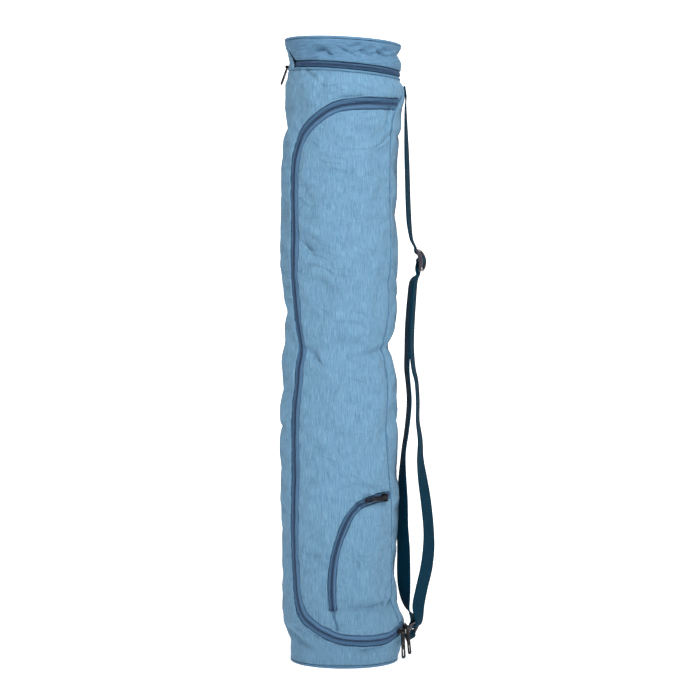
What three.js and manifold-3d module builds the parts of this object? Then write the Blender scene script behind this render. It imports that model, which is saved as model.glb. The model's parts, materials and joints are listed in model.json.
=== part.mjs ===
// A soft yoga mat bag that stands upright: a cloth tube with a zipped lid, a long
// C-shaped door zip, a small D-shaped zipped pocket and an adjustable shoulder strap.
// Millimetres, +Z up, the front faces -Y, origin at the centre of the base on the ground.

import * as THREE from 'three';
import { mergeVertices } from 'three/addons/utils/BufferGeometryUtils.js';
import Module from 'manifold-3d';

const wasm = await Module();
wasm.setup();

// Bag
const bagHeight = 680;
const bodyRadius = 63;
const clothWall = 2;
const pieceGap = 0.35;
const weltDiameter = 3;
const collarWeltHeight = 2.6;
const lidDepth = 37.5;
const collarHeight = bagHeight - lidDepth;
const collarTilt = 5;
const rimTilt = 3.2;
const lidTopSag = 4;

// Zips
const mainZipWidth = 14.5;
const pocketZipWidth = 10;
const lidZipWidth = 7;
const coilWidth = 2.2;
const coilRise = 0.5;
const tapeThickness = 1.1;
const tapeRecess = 0.4;
const sideSeamWidth = 3.4;
const pocketSeamWidth = 2.6;
const lidZipStart = -62;
const lidZipEnd = 258;
const hingeTopAngle = -84;

// Sliders and pulls
const sliderLength = 8.6;
const sliderWidth = 6.8;
const sliderPlate = 1.8;
const sliderSeat = 0.5;
const barRadius = 0.7;
const barHeight = 4.1;
const lugThickness = 1.3;
const eyeClearance = 0.35;
const eyeWall = 0.8;
const pullWidth = 4.8;
const pullThickness = 1.4;
const pullSlotLength = 7;
const pullSlotWidth = 1.8;
const pullSlotRim = 3;
const mainPullLength = 30;
const pocketPullLength = 27;
const lidPullLength = 21;
const leftSliderAngle = 63.5;
const leftSliderTurn = 4;
const rightSliderAngle = 75;
const rightPullSweep = 6;
const pocketSliderAngle = 43;
const pocketSliderTurn = 95;
const pocketPullTip = { angle: 13, height: 0.2799, out: 5.5 };
const lidSliderAngle = 253;
const lidPullSweep = 21;

// Strap and its hardware
const strapWidth = 25;
const strapThickness = 1.5;
const strapDepth = 5;
const slotClearance = 0.6;
const adjusterHeight = 25;
const adjusterThickness = 2.5;
const adjusterBar = 3;
const adjusterCorner = 2.2;
const adjusterPinRadius = 1.2;
const adjusterLean = 8;
const ringHeight = 20;
const ringWire = 3.6;
const ringLean = 26.6;
const tabRise = 4;
const strapTopShare = 0.929;
const strapSeatLength = 12;
const strapSeatClearance = 0.85;
const tabSeatClearance = 0.95;
const pinClearance = 0.25;
const strandClearance = 0.1;
const slotRun = 3;
const slotEntry = 1.6;

// Mesh fineness
const wallColumns = 30;
const wallRows = 22;
const ringColumns = 30;
const lidRows = 3;
const hingeColumns = 4;
const hingeRows = 5;
const discRows = 2;
const weltSides = 5;
const ringSides = 6;
const discHoleShare = 0.04;
const discHubShare = 0.06;
const wallRowCrowding = 1.25;

// Sections of the tube, bottom to top: height as a share of the bag's height, reach to
// the left and to the right as shares of the body's radius.
const sections = [
  { height: 0.004, left: 0.948, right: 0.93 },
  { height: 0.02, left: 0.951, right: 0.96 },
  { height: 0.036, left: 0.959, right: 1.0 },
  { height: 0.05, left: 1.0, right: 1.04 },
  { height: 0.064, left: 1.06, right: 1.04 },
  { height: 0.085, left: 1.078, right: 0.96 },
  { height: 0.106, left: 1.078, right: 0.905 },
  { height: 0.15, left: 1.08, right: 0.878 },
  { height: 0.2, left: 1.083, right: 0.898 },
  { height: 0.26, left: 1.113, right: 0.937 },
  { height: 0.31, left: 1.113, right: 0.913 },
  { height: 0.4, left: 1.124, right: 0.913 },
  { height: 0.454, left: 1.078, right: 0.895 },
  { height: 0.487, left: 1.095, right: 0.832 },
  { height: 0.512, left: 1.07, right: 0.808 },
  { height: 0.537, left: 1.041, right: 0.863 },
  { height: 0.565, left: 1.029, right: 0.905 },
  { height: 0.6, left: 1.06, right: 0.895 },
  { height: 0.65, left: 1.113, right: 0.911 },
  { height: 0.72, left: 1.095, right: 0.878 },
  { height: 0.8, left: 1.095, right: 0.895 },
  { height: 0.843, left: 1.06, right: 0.93 },
  { height: 0.862, left: 1.024, right: 0.973 },
  { height: 0.886, left: 1.013, right: 0.984 },
  { height: 0.9075, left: 1.008, right: 1.04 },
  { height: 0.927, left: 1.008, right: 1.027 },
  { height: 0.9365, left: 1.008, right: 0.957 },
  { height: 0.954, left: 0.987, right: 0.978 },
  { height: 0.966, left: 0.962, right: 0.99 },
  { height: 0.9787, left: 0.983, right: 0.93 },
  { height: 0.99, left: 1.029, right: 0.983 },
  { height: 1.0, left: 1.048, right: 0.976 },
];

// Folds in the cloth: place (angle from the front, height share), half length, half width
// and depth as shares of the body's radius, turn in degrees from level, rising to the right.
const folds = [
  { name: 'overhang crease', angle: -52, height: 0.042, length: 0.4, width: 0.09, turn: -30, depth: -0.06 },
  { name: 'overhang bulge', angle: -60, height: 0.08, length: 0.5, width: 0.2, turn: -25, depth: 0.02 },
  { name: 'dent under door', angle: 2, height: 0.036, length: 0.6, width: 0.1, turn: -4, depth: -0.03 },
  { name: 'waist pinch', angle: 42, height: 0.512, length: 0.95, width: 0.16, turn: 0, depth: -0.05 },
  { name: 'waist dent left', angle: -36, height: 0.505, length: 0.4, width: 0.25, turn: -25, depth: -0.03 },
  { name: 'diagonal ridge', angle: 24, height: 0.384, length: 0.95, width: 0.16, turn: 52, depth: 0.026 },
  { name: 'diagonal hollow', angle: 38, height: 0.355, length: 0.8, width: 0.18, turn: 52, depth: -0.024 },
  { name: 'upper crease', angle: 42, height: 0.621, length: 0.5, width: 0.14, turn: -24, depth: -0.022 },
  { name: 'zip side dent', angle: -40, height: 0.675, length: 0.3, width: 0.14, turn: -45, depth: -0.024 },
  { name: 'pocket crease', angle: 26, height: 0.0995, length: 0.75, width: 0.09, turn: -2, depth: -0.028 },
  { name: 'pocket gather', angle: 58, height: 0.092, length: 0.25, width: 0.13, turn: 60, depth: -0.025 },
  { name: 'pocket fullness', angle: 22, height: 0.17, length: 0.7, width: 0.6, turn: 0, depth: 0.02 },
  { name: 'lid dent left', angle: -22, height: 0.977, length: 0.35, width: 0.07, turn: -20, depth: -0.028 },
  { name: 'lid dent right', angle: 42, height: 0.9775, length: 0.6, width: 0.08, turn: -8, depth: -0.032 },
  { name: 'back waist fold', angle: 165, height: 0.5, length: 0.9, width: 0.18, turn: 12, depth: -0.045 },
  { name: 'back upper fold', angle: 205, height: 0.72, length: 0.8, width: 0.2, turn: -35, depth: -0.03 },
  { name: 'back lower fold', angle: 150, height: 0.24, length: 0.8, width: 0.2, turn: 40, depth: -0.032 },
  { name: 'left back fold', angle: 250, height: 0.36, length: 0.7, width: 0.16, turn: 25, depth: -0.028 },
];

// Middle of the door zip: from its top right end, round the left side, to the bottom right.
// Heights here, in the pocket's lines and in the side seam are shares of the collar's height.
const mainZipPath = [
  { angle: 61, height: 0.9497 },
  { angle: 40, height: 0.9483 },
  { angle: 14.7, height: 0.9467 },
  { angle: -8, height: 0.9409 },
  { angle: -29, height: 0.9213 },
  { angle: -43, height: 0.8996 },
  { angle: -50.5, height: 0.8721 },
  { angle: -54.8, height: 0.8255 },
  { angle: -55, height: 0.762 },
  { angle: -53.5, height: 0.7036 },
  { angle: -54.9, height: 0.6447 },
  { angle: -53.4, height: 0.5941 },
  { angle: -48.2, height: 0.552 },
  { angle: -46, height: 0.5285 },
  { angle: -48.5, height: 0.4982 },
  { angle: -50.9, height: 0.451 },
  { angle: -52.4, height: 0.3667 },
  { angle: -52.8, height: 0.2791 },
  { angle: -54.1, height: 0.2079 },
  { angle: -53.4, height: 0.1472 },
  { angle: -49.5, height: 0.1095 },
  { angle: -41.9, height: 0.0852 },
  { angle: -31.9, height: 0.073 },
  { angle: -20, height: 0.0614 },
  { angle: -6, height: 0.0519 },
  { angle: 12, height: 0.0478 },
  { angle: 32, height: 0.0464 },
  { angle: 50, height: 0.0489 },
  { angle: 62, height: 0.0556 },
  { angle: 71, height: 0.0598 },
  { angle: 80, height: 0.0609 },
];
// Rows of the path at which the door's two round corners are halved.
const doorTopCornerRow = 5;
const doorBottomCornerRow = 21;

// Middle of the pocket zip, then of the seam that runs on to the door zip.
const pocketZipPath = [
  { angle: 56, height: 0.2899 },
  { angle: 44, height: 0.2884 },
  { angle: 32.1, height: 0.2858 },
  { angle: 21.5, height: 0.2808 },
  { angle: 13.1, height: 0.2728 },
  { angle: 5.2, height: 0.258 },
  { angle: -0.6, height: 0.2379 },
  { angle: -5.9, height: 0.2144 },
  { angle: -9.4, height: 0.1925 },
  { angle: -11.6, height: 0.1689 },
  { angle: -12.6, height: 0.1438 },
  { angle: -12.4, height: 0.1189 },
  { angle: -11.7, height: 0.0991 },
];
const pocketSeamPath = [
  { angle: -11.4, height: 0.0979 },
  { angle: -9.2, height: 0.0828 },
  { angle: -7, height: 0.0715 },
  { angle: -7.2, height: 0.0673 },
];

// The side seam on the right, top to bottom, on which the door panel hangs.
const sideSeam = [
  { height: 0.9906, angle: 85.5 },
  { height: 0.9618, angle: 70.7 },
  { height: 0.9378, angle: 63 },
  { height: 0.9225, angle: 58.1 },
  { height: 0.9106, angle: 56.5 },
  { height: 0.889, angle: 58 },
  { height: 0.8255, angle: 59.6 },
  { height: 0.7477, angle: 60.4 },
  { height: 0.6868, angle: 57.6 },
  { height: 0.6191, angle: 56.5 },
  { height: 0.5683, angle: 54.8 },
  { height: 0.5012, angle: 53.9 },
  { height: 0.4339, angle: 51.4 },
  { height: 0.3837, angle: 51.5 },
  { height: 0.3412, angle: 54.1 },
  { height: 0.2986, angle: 57.8 },
  { height: 0.2473, angle: 61 },
  { height: 0.1783, angle: 65 },
  { height: 0.128, angle: 65.2 },
  { height: 0.0953, angle: 66.5 },
  { height: 0, angle: 68 },
];

// Strap from its top end to the adjuster: height as a share of the bag's height, distance
// out from the bag's axis as a share of the body's radius, twist in degrees.
const strapUpper = [
  { height: 0.893, out: 1.062, twist: 0 },
  { height: 0.859, out: 1.07, twist: 2 },
  { height: 0.826, out: 1.08, twist: 4 },
  { height: 0.778, out: 1.096, twist: 5 },
  { height: 0.746, out: 1.105, twist: 5 },
  { height: 0.713, out: 1.122, twist: 5 },
  { height: 0.697, out: 1.14, twist: 4 },
  { height: 0.682, out: 1.17, twist: 2 },
];
// The outer strand from the adjuster down to the ring.
const strapOuter = [
  { height: 0.616, out: 1.243, twist: 3 },
  { height: 0.584, out: 1.206, twist: 5 },
  { height: 0.535, out: 1.175, twist: 5 },
  { height: 0.503, out: 1.175, twist: 5 },
  { height: 0.471, out: 1.21, twist: 5 },
  { height: 0.454, out: 1.254, twist: 4 },
  { height: 0.42, out: 1.28, twist: 4 },
  { height: 0.388, out: 1.28, twist: 4 },
  { height: 0.357, out: 1.322, twist: 8 },
  { height: 0.325, out: 1.325, twist: 14 },
  { height: 0.293, out: 1.367, twist: 22 },
  { height: 0.26, out: 1.42, twist: 26 },
  { height: 0.212, out: 1.472, twist: 26 },
  { height: 0.179, out: 1.472, twist: 30 },
  { height: 0.147, out: 1.43, twist: 32 },
  { height: 0.115, out: 1.35, twist: 30 },
  { height: 0.09, out: 1.298, twist: 18 },
];
// The inner strand from the ring back up to the adjuster.
const strapInner = [
  { height: 0.085, out: 1.09, twist: 14 },
  { height: 0.115, out: 1.045, twist: 28 },
  { height: 0.14, out: 1.035, twist: 32 },
  { height: 0.179, out: 1.032, twist: 30 },
  { height: 0.22, out: 1.016, twist: 22 },
  { height: 0.26, out: 1.016, twist: 20 },
  { height: 0.293, out: 1.012, twist: 14 },
  { height: 0.325, out: 1.022, twist: 6 },
  { height: 0.341, out: 1.035, twist: 4 },
  { height: 0.374, out: 1.087, twist: 4 },
  { height: 0.42, out: 1.13, twist: 4 },
  { height: 0.454, out: 1.105, twist: 4 },
  { height: 0.471, out: 1.088, twist: 5 },
  { height: 0.503, out: 1.095, twist: 5 },
  { height: 0.535, out: 1.105, twist: 5 },
  { height: 0.584, out: 1.143, twist: 5 },
  { height: 0.616, out: 1.183, twist: 3 },
];

const adjusterPlace = { height: 0.6485, out: 1.305 };
const ringPlace = { height: 0.0469, out: 1.183 };

// Colours and finishes
const clothBlue = new THREE.MeshStandardMaterial({ color: '#7ba8c7', roughness: 0.9, metalness: 0 });
const zipBlue = new THREE.MeshStandardMaterial({ color: '#4b6988', roughness: 0.75, metalness: 0 });
const coilBlue = new THREE.MeshStandardMaterial({ color: '#3a587c', roughness: 0.5, metalness: 0 });
const strapTeal = new THREE.MeshStandardMaterial({ color: '#0d3c51', roughness: 0.8, metalness: 0 });
const blackPlastic = new THREE.MeshStandardMaterial({ color: '#322e38', roughness: 0.45, metalness: 0 });
const blackMetal = new THREE.MeshStandardMaterial({ color: '#1a1c20', roughness: 0.35, metalness: 0.8 });

const radians = THREE.MathUtils.degToRad;

// A smooth value between the rows of a table, by height share.
function tableValue(rows, key, share) {
  const last = rows.length - 1;
  if (share <= rows[0].height) return rows[0][key];
  if (share >= rows[last].height) return rows[last][key];
  let i = 0;
  while (share > rows[i + 1].height) i += 1;
  const a = rows[i];
  const b = rows[i + 1];
  const before = rows[Math.max(i - 1, 0)];
  const after = rows[Math.min(i + 2, last)];
  const step = b.height - a.height;
  const t = (share - a.height) / step;
  const slopeA = (b[key] - before[key]) / (b.height - before.height) * step;
  const slopeB = (after[key] - a[key]) / (after.height - a.height) * step;
  const t2 = t * t;
  const t3 = t2 * t;
  return (2 * t3 - 3 * t2 + 1) * a[key] + (t3 - 2 * t2 + t) * slopeA
    + (3 * t2 - 2 * t3) * b[key] + (t3 - t2) * slopeB;
}

// How far the folds push the wall out at a place.
function foldPush(angle, z) {
  let push = 0;
  for (const fold of folds) {
    const turn = radians(fold.turn);
    let swing = angle - fold.angle;
    swing -= 360 * Math.round(swing / 360);
    const across = radians(swing) * bodyRadius;
    const up = z - fold.height * bagHeight;
    const along = (across * Math.cos(turn) + up * Math.sin(turn)) / (fold.length * bodyRadius);
    const side = (up * Math.cos(turn) - across * Math.sin(turn)) / (fold.width * bodyRadius);
    push += fold.depth * bodyRadius * Math.exp(-along * along - side * side);
  }
  return push;
}

// A point of the bag's wall: angle from the front towards +X, height, distance outwards.
function wallAt(angle, z, out) {
  const share = z / bagHeight;
  const left = tableValue(sections, 'left', share) * bodyRadius;
  const right = tableValue(sections, 'right', share) * bodyRadius;
  const half = (left + right) / 2;
  const shift = (right - left) / 2;
  const s = Math.sin(radians(angle));
  const c = Math.cos(radians(angle));
  const reach = out + foldPush(angle, z);
  return new THREE.Vector3(s * (half + shift * s + reach), -c * (half + reach), z);
}

const collarAt = (angle) => collarHeight - collarTilt * Math.sin(radians(angle));
const rimAt = (angle) => bagHeight - rimTilt * Math.sin(radians(angle));
const lidZipLow = (angle) => collarAt(angle) + collarWeltHeight + pieceGap;
const lidBandLow = (angle) => lidZipLow(angle) + lidZipWidth + pieceGap;
const lidBandHigh = (angle) => rimAt(angle) - weltDiameter - pieceGap;
const bodyLow = weltDiameter + pieceGap;

// Closed bodies from lists of points

// Turns a body right side out if its faces point inwards.
function closedBody(points, faces) {
  let volume = 0;
  for (const [a, b, c] of faces) {
    volume += points[a].dot(new THREE.Vector3().crossVectors(points[b], points[c]));
  }
  const index = [];
  for (const [a, b, c] of faces) {
    if (volume > 0) index.push(a, b, c);
    else index.push(a, c, b);
  }
  const geometry = new THREE.BufferGeometry();
  const flat = points.flatMap((p) => [p.x, p.y, p.z]);
  geometry.setAttribute('position', new THREE.Float32BufferAttribute(flat, 3));
  geometry.setIndex(index);
  return geometry;
}

// A cloth patch with an inner and an outer skin; place(u, v, out) gives its points.
function clothPatch(place, columns, rows, outLow, outHigh, wraps = false) {
  const points = [];
  const faces = [];
  const width = wraps ? columns : columns + 1;
  for (const out of [outHigh, outLow]) {
    for (let j = 0; j <= rows; j += 1) {
      for (let i = 0; i < width; i += 1) points.push(place(i / columns, j / rows, out));
    }
  }
  const skin = width * (rows + 1);
  const at = (i, j) => j * width + (i % width);
  const quad = (a, b, c, d) => faces.push([a, b, c], [a, c, d]);
  for (let j = 0; j < rows; j += 1) {
    for (let i = 0; i < columns; i += 1) {
      quad(at(i, j), at(i + 1, j), at(i + 1, j + 1), at(i, j + 1));
      quad(skin + at(i, j), skin + at(i, j + 1), skin + at(i + 1, j + 1), skin + at(i + 1, j));
    }
  }
  for (let i = 0; i < columns; i += 1) {
    quad(at(i, 0), skin + at(i, 0), skin + at(i + 1, 0), at(i + 1, 0));
    quad(at(i, rows), at(i + 1, rows), skin + at(i + 1, rows), skin + at(i, rows));
  }
  if (!wraps) {
    for (let j = 0; j < rows; j += 1) {
      quad(at(0, j), at(0, j + 1), skin + at(0, j + 1), skin + at(0, j));
      quad(at(columns, j), skin + at(columns, j), skin + at(columns, j + 1), at(columns, j + 1));
    }
  }
  return closedBody(points, faces);
}

// A body swept through rows of section points, with flat ends or closed on itself.
function sweep(stations, closed) {
  const size = stations[0].length;
  const points = stations.flat();
  const faces = [];
  const count = stations.length;
  const steps = closed ? count : count - 1;
  for (let k = 0; k < steps; k += 1) {
    for (let i = 0; i < size; i += 1) {
      const a = k * size + i;
      const b = k * size + (i + 1) % size;
      const c = ((k + 1) % count) * size + (i + 1) % size;
      const d = ((k + 1) % count) * size + i;
      faces.push([a, b, c], [a, c, d]);
    }
  }
  if (!closed) {
    for (let i = 1; i < size - 1; i += 1) {
      faces.push([0, i + 1, i]);
      const end = (count - 1) * size;
      faces.push([end, end + i, end + i + 1]);
    }
  }
  return closedBody(points, faces);
}

function roundSection(radius, sides) {
  const ring = [];
  for (let i = 0; i < sides; i += 1) {
    const turn = 2 * Math.PI * (i + 0.5) / sides;
    ring.push([radius * Math.cos(turn), radius * Math.sin(turn)]);
  }
  return ring;
}

// Lines drawn on the flat cloth: x runs round the tube, y is height

const flatPoint = (row) => new THREE.Vector3(radians(row.angle) * bodyRadius, row.height * collarHeight, 0);
const angleOf = (x) => THREE.MathUtils.radToDeg(x / bodyRadius);

function flatLine(rows, steps) {
  const curve = new THREE.CatmullRomCurve3(rows.map(flatPoint), false, 'centripetal');
  return curve.getSpacedPoints(steps);
}

function sideways(line, k) {
  const before = line[Math.max(k - 1, 0)];
  const after = line[Math.min(k + 1, line.length - 1)];
  const run = new THREE.Vector3().subVectors(after, before).normalize();
  return new THREE.Vector3(-run.y, run.x, 0);
}

function resample(line, steps) {
  const lengths = [0];
  for (let k = 1; k < line.length; k += 1) lengths.push(lengths[k - 1] + line[k].distanceTo(line[k - 1]));
  const total = lengths[line.length - 1];
  const result = [];
  let k = 0;
  for (let i = 0; i <= steps; i += 1) {
    const want = total * i / steps;
    while (k < line.length - 2 && lengths[k + 1] < want) k += 1;
    const share = (want - lengths[k]) / (lengths[k + 1] - lengths[k]);
    result.push(line[k].clone().lerp(line[k + 1], share));
  }
  return result;
}

// A band that follows a flat line; its section holds [across, out] pairs.
function bandAlong(line, section) {
  const stations = line.map((p, k) => {
    const side = sideways(line, k);
    return section.map(([across, out]) => {
      const q = p.clone().addScaledVector(side, across);
      return wallAt(angleOf(q.x), q.y, out);
    });
  });
  return sweep(stations, false);
}

const box = (low, high, inner, outer) => [[low, inner], [high, inner], [high, outer], [low, outer]];

// Solids that are cut or joined

function toSolid(geometry) {
  const bare = new THREE.BufferGeometry();
  bare.setAttribute('position', geometry.getAttribute('position').clone());
  if (geometry.index) bare.setIndex(geometry.index.clone());
  const merged = mergeVertices(bare, 1e-4);
  return new wasm.Manifold(new wasm.Mesh({
    numProp: 3,
    vertProperties: new Float32Array(merged.getAttribute('position').array),
    triVerts: new Uint32Array(merged.index.array),
  }));
}

function toGeometry(solid) {
  const mesh = solid.getMesh();
  const geometry = new THREE.BufferGeometry();
  geometry.setAttribute('position', new THREE.Float32BufferAttribute(mesh.vertProperties, 3));
  geometry.setIndex(Array.from(mesh.triVerts));
  return geometry;
}

// A cutter through the wall over a region with four sides, each a flat line.
const cutterReach = 12;
const bandReach = 2.5;
function regionCutter(top, right, bottom, left) {
  const columns = top.length - 1;
  const rows = left.length - 1;
  const place = (u, v, out) => {
    const i = Math.round(u * columns);
    const j = Math.round(v * rows);
    const p = new THREE.Vector3();
    p.addScaledVector(top[i], 1 - v).addScaledVector(bottom[i], v);
    p.addScaledVector(left[j], 1 - u).addScaledVector(right[j], u);
    p.addScaledVector(top[0], -(1 - u) * (1 - v)).addScaledVector(top[columns], -u * (1 - v));
    p.addScaledVector(bottom[0], -(1 - u) * v).addScaledVector(bottom[columns], -u * v);
    return wallAt(angleOf(p.x), p.y, out);
  };
  return toSolid(clothPatch(place, columns, rows, -clothWall - cutterReach, cutterReach));
}

// A cutter along a line, which runs a little past both of its ends.
function bandCutter(line, half, past) {
  const first = line[0].clone().add(line[0].clone().sub(line[1]).setLength(past));
  const last = line[line.length - 1];
  const beyond = last.clone().add(last.clone().sub(line[line.length - 2]).setLength(past));
  return toSolid(bandAlong([first, ...line, beyond], box(-half, half, -clothWall - bandReach, bandReach)));
}

const seamDescending = [...sideSeam].reverse();
const seamX = (y) => radians(tableValue(seamDescending, 'angle', y / collarHeight)) * bodyRadius;

function nearestStation(line, row) {
  const target = flatPoint(row);
  let best = 0;
  line.forEach((p, k) => {
    if (p.distanceTo(target) < line[best].distanceTo(target)) best = k;
  });
  return best;
}

// The door's region, from the middle line of its zip to the side seam
const doorColumns = 18;
const doorRows = 36;
const zipSteps = 46;
const mainZipLine = flatLine(mainZipPath, zipSteps);

function doorCutter() {
  const cornerTop = nearestStation(mainZipLine, mainZipPath[doorTopCornerRow]);
  const cornerBottom = nearestStation(mainZipLine, mainZipPath[doorBottomCornerRow]);
  const endAtSeam = (line) => {
    const kept = line.filter((p) => p.x < seamX(p.y));
    const y = kept[kept.length - 1].y;
    kept.push(new THREE.Vector3(seamX(y), y, 0));
    return resample(kept, doorColumns);
  };
  const top = endAtSeam(mainZipLine.slice(0, cornerTop + 1).reverse());
  const bottom = endAtSeam(mainZipLine.slice(cornerBottom));
  const left = resample(mainZipLine.slice(cornerTop, cornerBottom + 1), doorRows);
  const right = seamLine(top[doorColumns].y, bottom[doorColumns].y, doorRows);
  return regionCutter(top, right, bottom, left);
}

function seamLine(highY, lowY, steps) {
  const line = [];
  const fine = 8 * steps;
  for (let k = 0; k <= fine; k += 1) {
    const y = THREE.MathUtils.lerp(highY, lowY, k / fine);
    line.push(new THREE.Vector3(seamX(y), y, 0));
  }
  return resample(line, steps);
}

// The pocket's region, from the middle line of its zip past the door's own edges
const pocketSteps = 18;
const pocketSeamSteps = 4;
const pocketCornerRow = 5;
const pocketPast = 18;
const pocketColumns = 10;
const pocketRows = 12;
const pocketZipLine = flatLine(pocketZipPath, pocketSteps);
const pocketSeamLine = flatLine(pocketSeamPath, pocketSeamSteps);

function pocketCutter() {
  const corner = nearestStation(pocketZipLine, pocketZipPath[pocketCornerRow]);
  const foot = pocketSeamLine[pocketSeamSteps].clone();
  foot.y -= pocketPast;
  const start = pocketZipLine[0].clone();
  start.x += pocketPast;
  const top = resample([...pocketZipLine.slice(0, corner + 1).reverse(), start], pocketColumns);
  const left = resample([...pocketZipLine.slice(corner), ...pocketSeamLine, foot], pocketRows);
  const lowRight = new THREE.Vector3(start.x, foot.y, 0);
  const right = resample([start, lowRight], pocketRows);
  return regionCutter(top, right, resample([foot, lowRight], pocketColumns), left);
}

// Pieces

const bag = new THREE.Group();

function addPiece(name, geometry, material) {
  const mesh = new THREE.Mesh(geometry, material);
  mesh.name = name;
  bag.add(mesh);
  return mesh;
}

// Body wall, with rows closer together near the base where the cloth folds over
function bodyTube() {
  const place = (u, v, out) => {
    const angle = 360 * u;
    const high = collarAt(angle) - pieceGap;
    return wallAt(angle, bodyLow + (high - bodyLow) * v ** wallRowCrowding, out);
  };
  return toSolid(clothPatch(place, wallColumns, wallRows, -clothWall, 0, true));
}

const mainZipHalf = mainZipWidth / 2;
const pocketZipHalf = pocketZipWidth / 2;
const sideSeamHalf = sideSeamWidth / 2;
const pocketSeamHalf = pocketSeamWidth / 2;

const tube = bodyTube();
const seamSteps = 24;
const seamTop = collarAt(sideSeam[0].angle) - 2 * pieceGap - sideSeamHalf;
const tailRow = mainZipPath[mainZipPath.length - 3];
const seamFoot = flatPoint(tailRow).y + mainZipHalf + 2 * pieceGap + sideSeamHalf;
const sideSeamLine = seamLine(seamTop, seamFoot, seamSteps);
const mainZipCut = bandCutter(mainZipLine, mainZipHalf + pieceGap, pieceGap);
const sideSeamCut = bandCutter(sideSeamLine, sideSeamHalf + pieceGap, sideSeamHalf + pieceGap);
const pocketZipCut = bandCutter(pocketZipLine, pocketZipHalf + pieceGap, pieceGap);
const pocketSeamCut = bandCutter(pocketSeamLine, pocketSeamHalf + pieceGap, pocketSeamHalf + pieceGap);

function largestPart(solid) {
  const parts = solid.decompose();
  parts.sort((a, b) => b.volume() - a.volume());
  return parts[0];
}

const uncutDoor = doorCutter();
const uncutPocket = pocketCutter();
const bodySolid = tube.subtract(uncutDoor).subtract(mainZipCut).subtract(sideSeamCut);
addPiece('bag_body', toGeometry(largestPart(bodySolid)), clothBlue);
const doorSolid = tube.intersect(uncutDoor).subtract(mainZipCut).subtract(sideSeamCut)
  .subtract(pocketZipCut).subtract(pocketSeamCut);
addPiece('front_panel', toGeometry(largestPart(doorSolid.subtract(uncutPocket))), clothBlue);
addPiece('pocket_panel', toGeometry(largestPart(doorSolid.intersect(uncutPocket))), clothBlue);

// Seams that stand a little proud of the cloth
const seamRise = 0.8;
const seamSection = (half) => [[-half, -clothWall], [half, -clothWall], [half, 0], [0, seamRise], [-half, 0]];
addPiece('side_seam_welt', bandAlong(sideSeamLine, seamSection(sideSeamHalf)), clothBlue);
addPiece('pocket_seam_welt', bandAlong(pocketSeamLine, seamSection(pocketSeamHalf)), clothBlue);

// Zips: two tapes with the coil between them
function zip(prefix, line, half) {
  const edge = coilWidth / 2 + pieceGap;
  const inner = -tapeRecess - tapeThickness;
  const names = prefix === 'lid_zip' ? ['lower_tape', 'upper_tape'] : ['outer_tape', 'inner_tape'];
  addPiece(`${prefix}_${names[0]}`, bandAlong(line, box(-half, -edge, inner, -tapeRecess)), zipBlue);
  addPiece(`${prefix}_${names[1]}`, bandAlong(line, box(edge, half, inner, -tapeRecess)), zipBlue);
  const foot = coilWidth / 2;
  const crest = coilWidth / 4;
  const coil = [[-foot, inner], [foot, inner], [crest, coilRise], [-crest, coilRise]];
  addPiece(`${prefix}_coil`, bandAlong(line, coil), coilBlue);
}
zip('main_zip', mainZipLine, mainZipHalf);
zip('pocket_zip', pocketZipLine, pocketZipHalf);

const lidSteps = 30;
function roundLine(heightAt, startAngle, endAngle) {
  const line = [];
  for (let k = 0; k <= lidSteps; k += 1) {
    const angle = THREE.MathUtils.lerp(startAngle, endAngle, k / lidSteps);
    line.push(new THREE.Vector3(radians(angle) * bodyRadius, heightAt(angle), 0));
  }
  return line;
}
const lidZipMiddle = (angle) => lidZipLow(angle) + lidZipWidth / 2;
zip('lid_zip', roundLine(lidZipMiddle, lidZipStart, lidZipEnd), lidZipWidth / 2);

const collarMiddle = (angle) => collarAt(angle) + collarWeltHeight / 2;
const collarSection = seamSection(collarWeltHeight / 2);
addPiece('collar_welt', bandAlong(roundLine(collarMiddle, lidZipStart, lidZipEnd), collarSection), clothBlue);

// Lid band and the plain strip that joins it to the body
const stripGap = THREE.MathUtils.radToDeg(pieceGap / bodyRadius) * 1.5;
const hingeEdge = (v) => THREE.MathUtils.lerp(lidZipStart, hingeTopAngle, v);
function lidBandPlace(u, v, out) {
  const angle = THREE.MathUtils.lerp(hingeEdge(v), lidZipEnd, u);
  return wallAt(angle, THREE.MathUtils.lerp(lidBandLow(angle), lidBandHigh(angle), v), out);
}
addPiece('lid_band', clothPatch(lidBandPlace, wallColumns, lidRows, -clothWall, 0), clothBlue);

function lidHingePlace(u, v, out) {
  const angle = THREE.MathUtils.lerp(lidZipEnd - 360 + stripGap, hingeEdge(v) - stripGap, u);
  return wallAt(angle, THREE.MathUtils.lerp(collarAt(angle), lidBandHigh(angle), v), out);
}
addPiece('lid_hinge', clothPatch(lidHingePlace, hingeColumns, hingeRows, -clothWall, 0), clothBlue);

// Piped rings at the rim and round the base
function pipedRing(heightAt) {
  const radius = weltDiameter / 2;
  const stations = [];
  for (let k = 0; k < ringColumns; k += 1) {
    const angle = 360 * k / ringColumns;
    const ring = roundSection(radius, weltSides);
    stations.push(ring.map(([out, up]) => wallAt(angle, heightAt(angle) + up, out - radius)));
  }
  return sweep(stations, true);
}
const pipingFlat = weltDiameter / 2;
addPiece('lid_piping', pipedRing((angle) => rimAt(angle) - weltDiameter / 2), clothBlue);
addPiece('base_welt', pipedRing(() => pipingFlat), clothBlue);

// Round cloth ends inside the piping
function clothDisc(topAt, sag) {
  const inset = weltDiameter + pieceGap;
  const place = (u, v, out) => {
    const angle = 360 * u;
    const edge = wallAt(angle, topAt(angle), -inset);
    const middle = new THREE.Vector3(0, 0, topAt(0));
    const share = THREE.MathUtils.lerp(discHoleShare, 1, v);
    const point = middle.lerp(edge, share);
    point.z += out - sag * (1 - share * share);
    return point;
  };
  return toSolid(clothPatch(place, ringColumns, discRows, -clothWall, 0, true));
}
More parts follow.
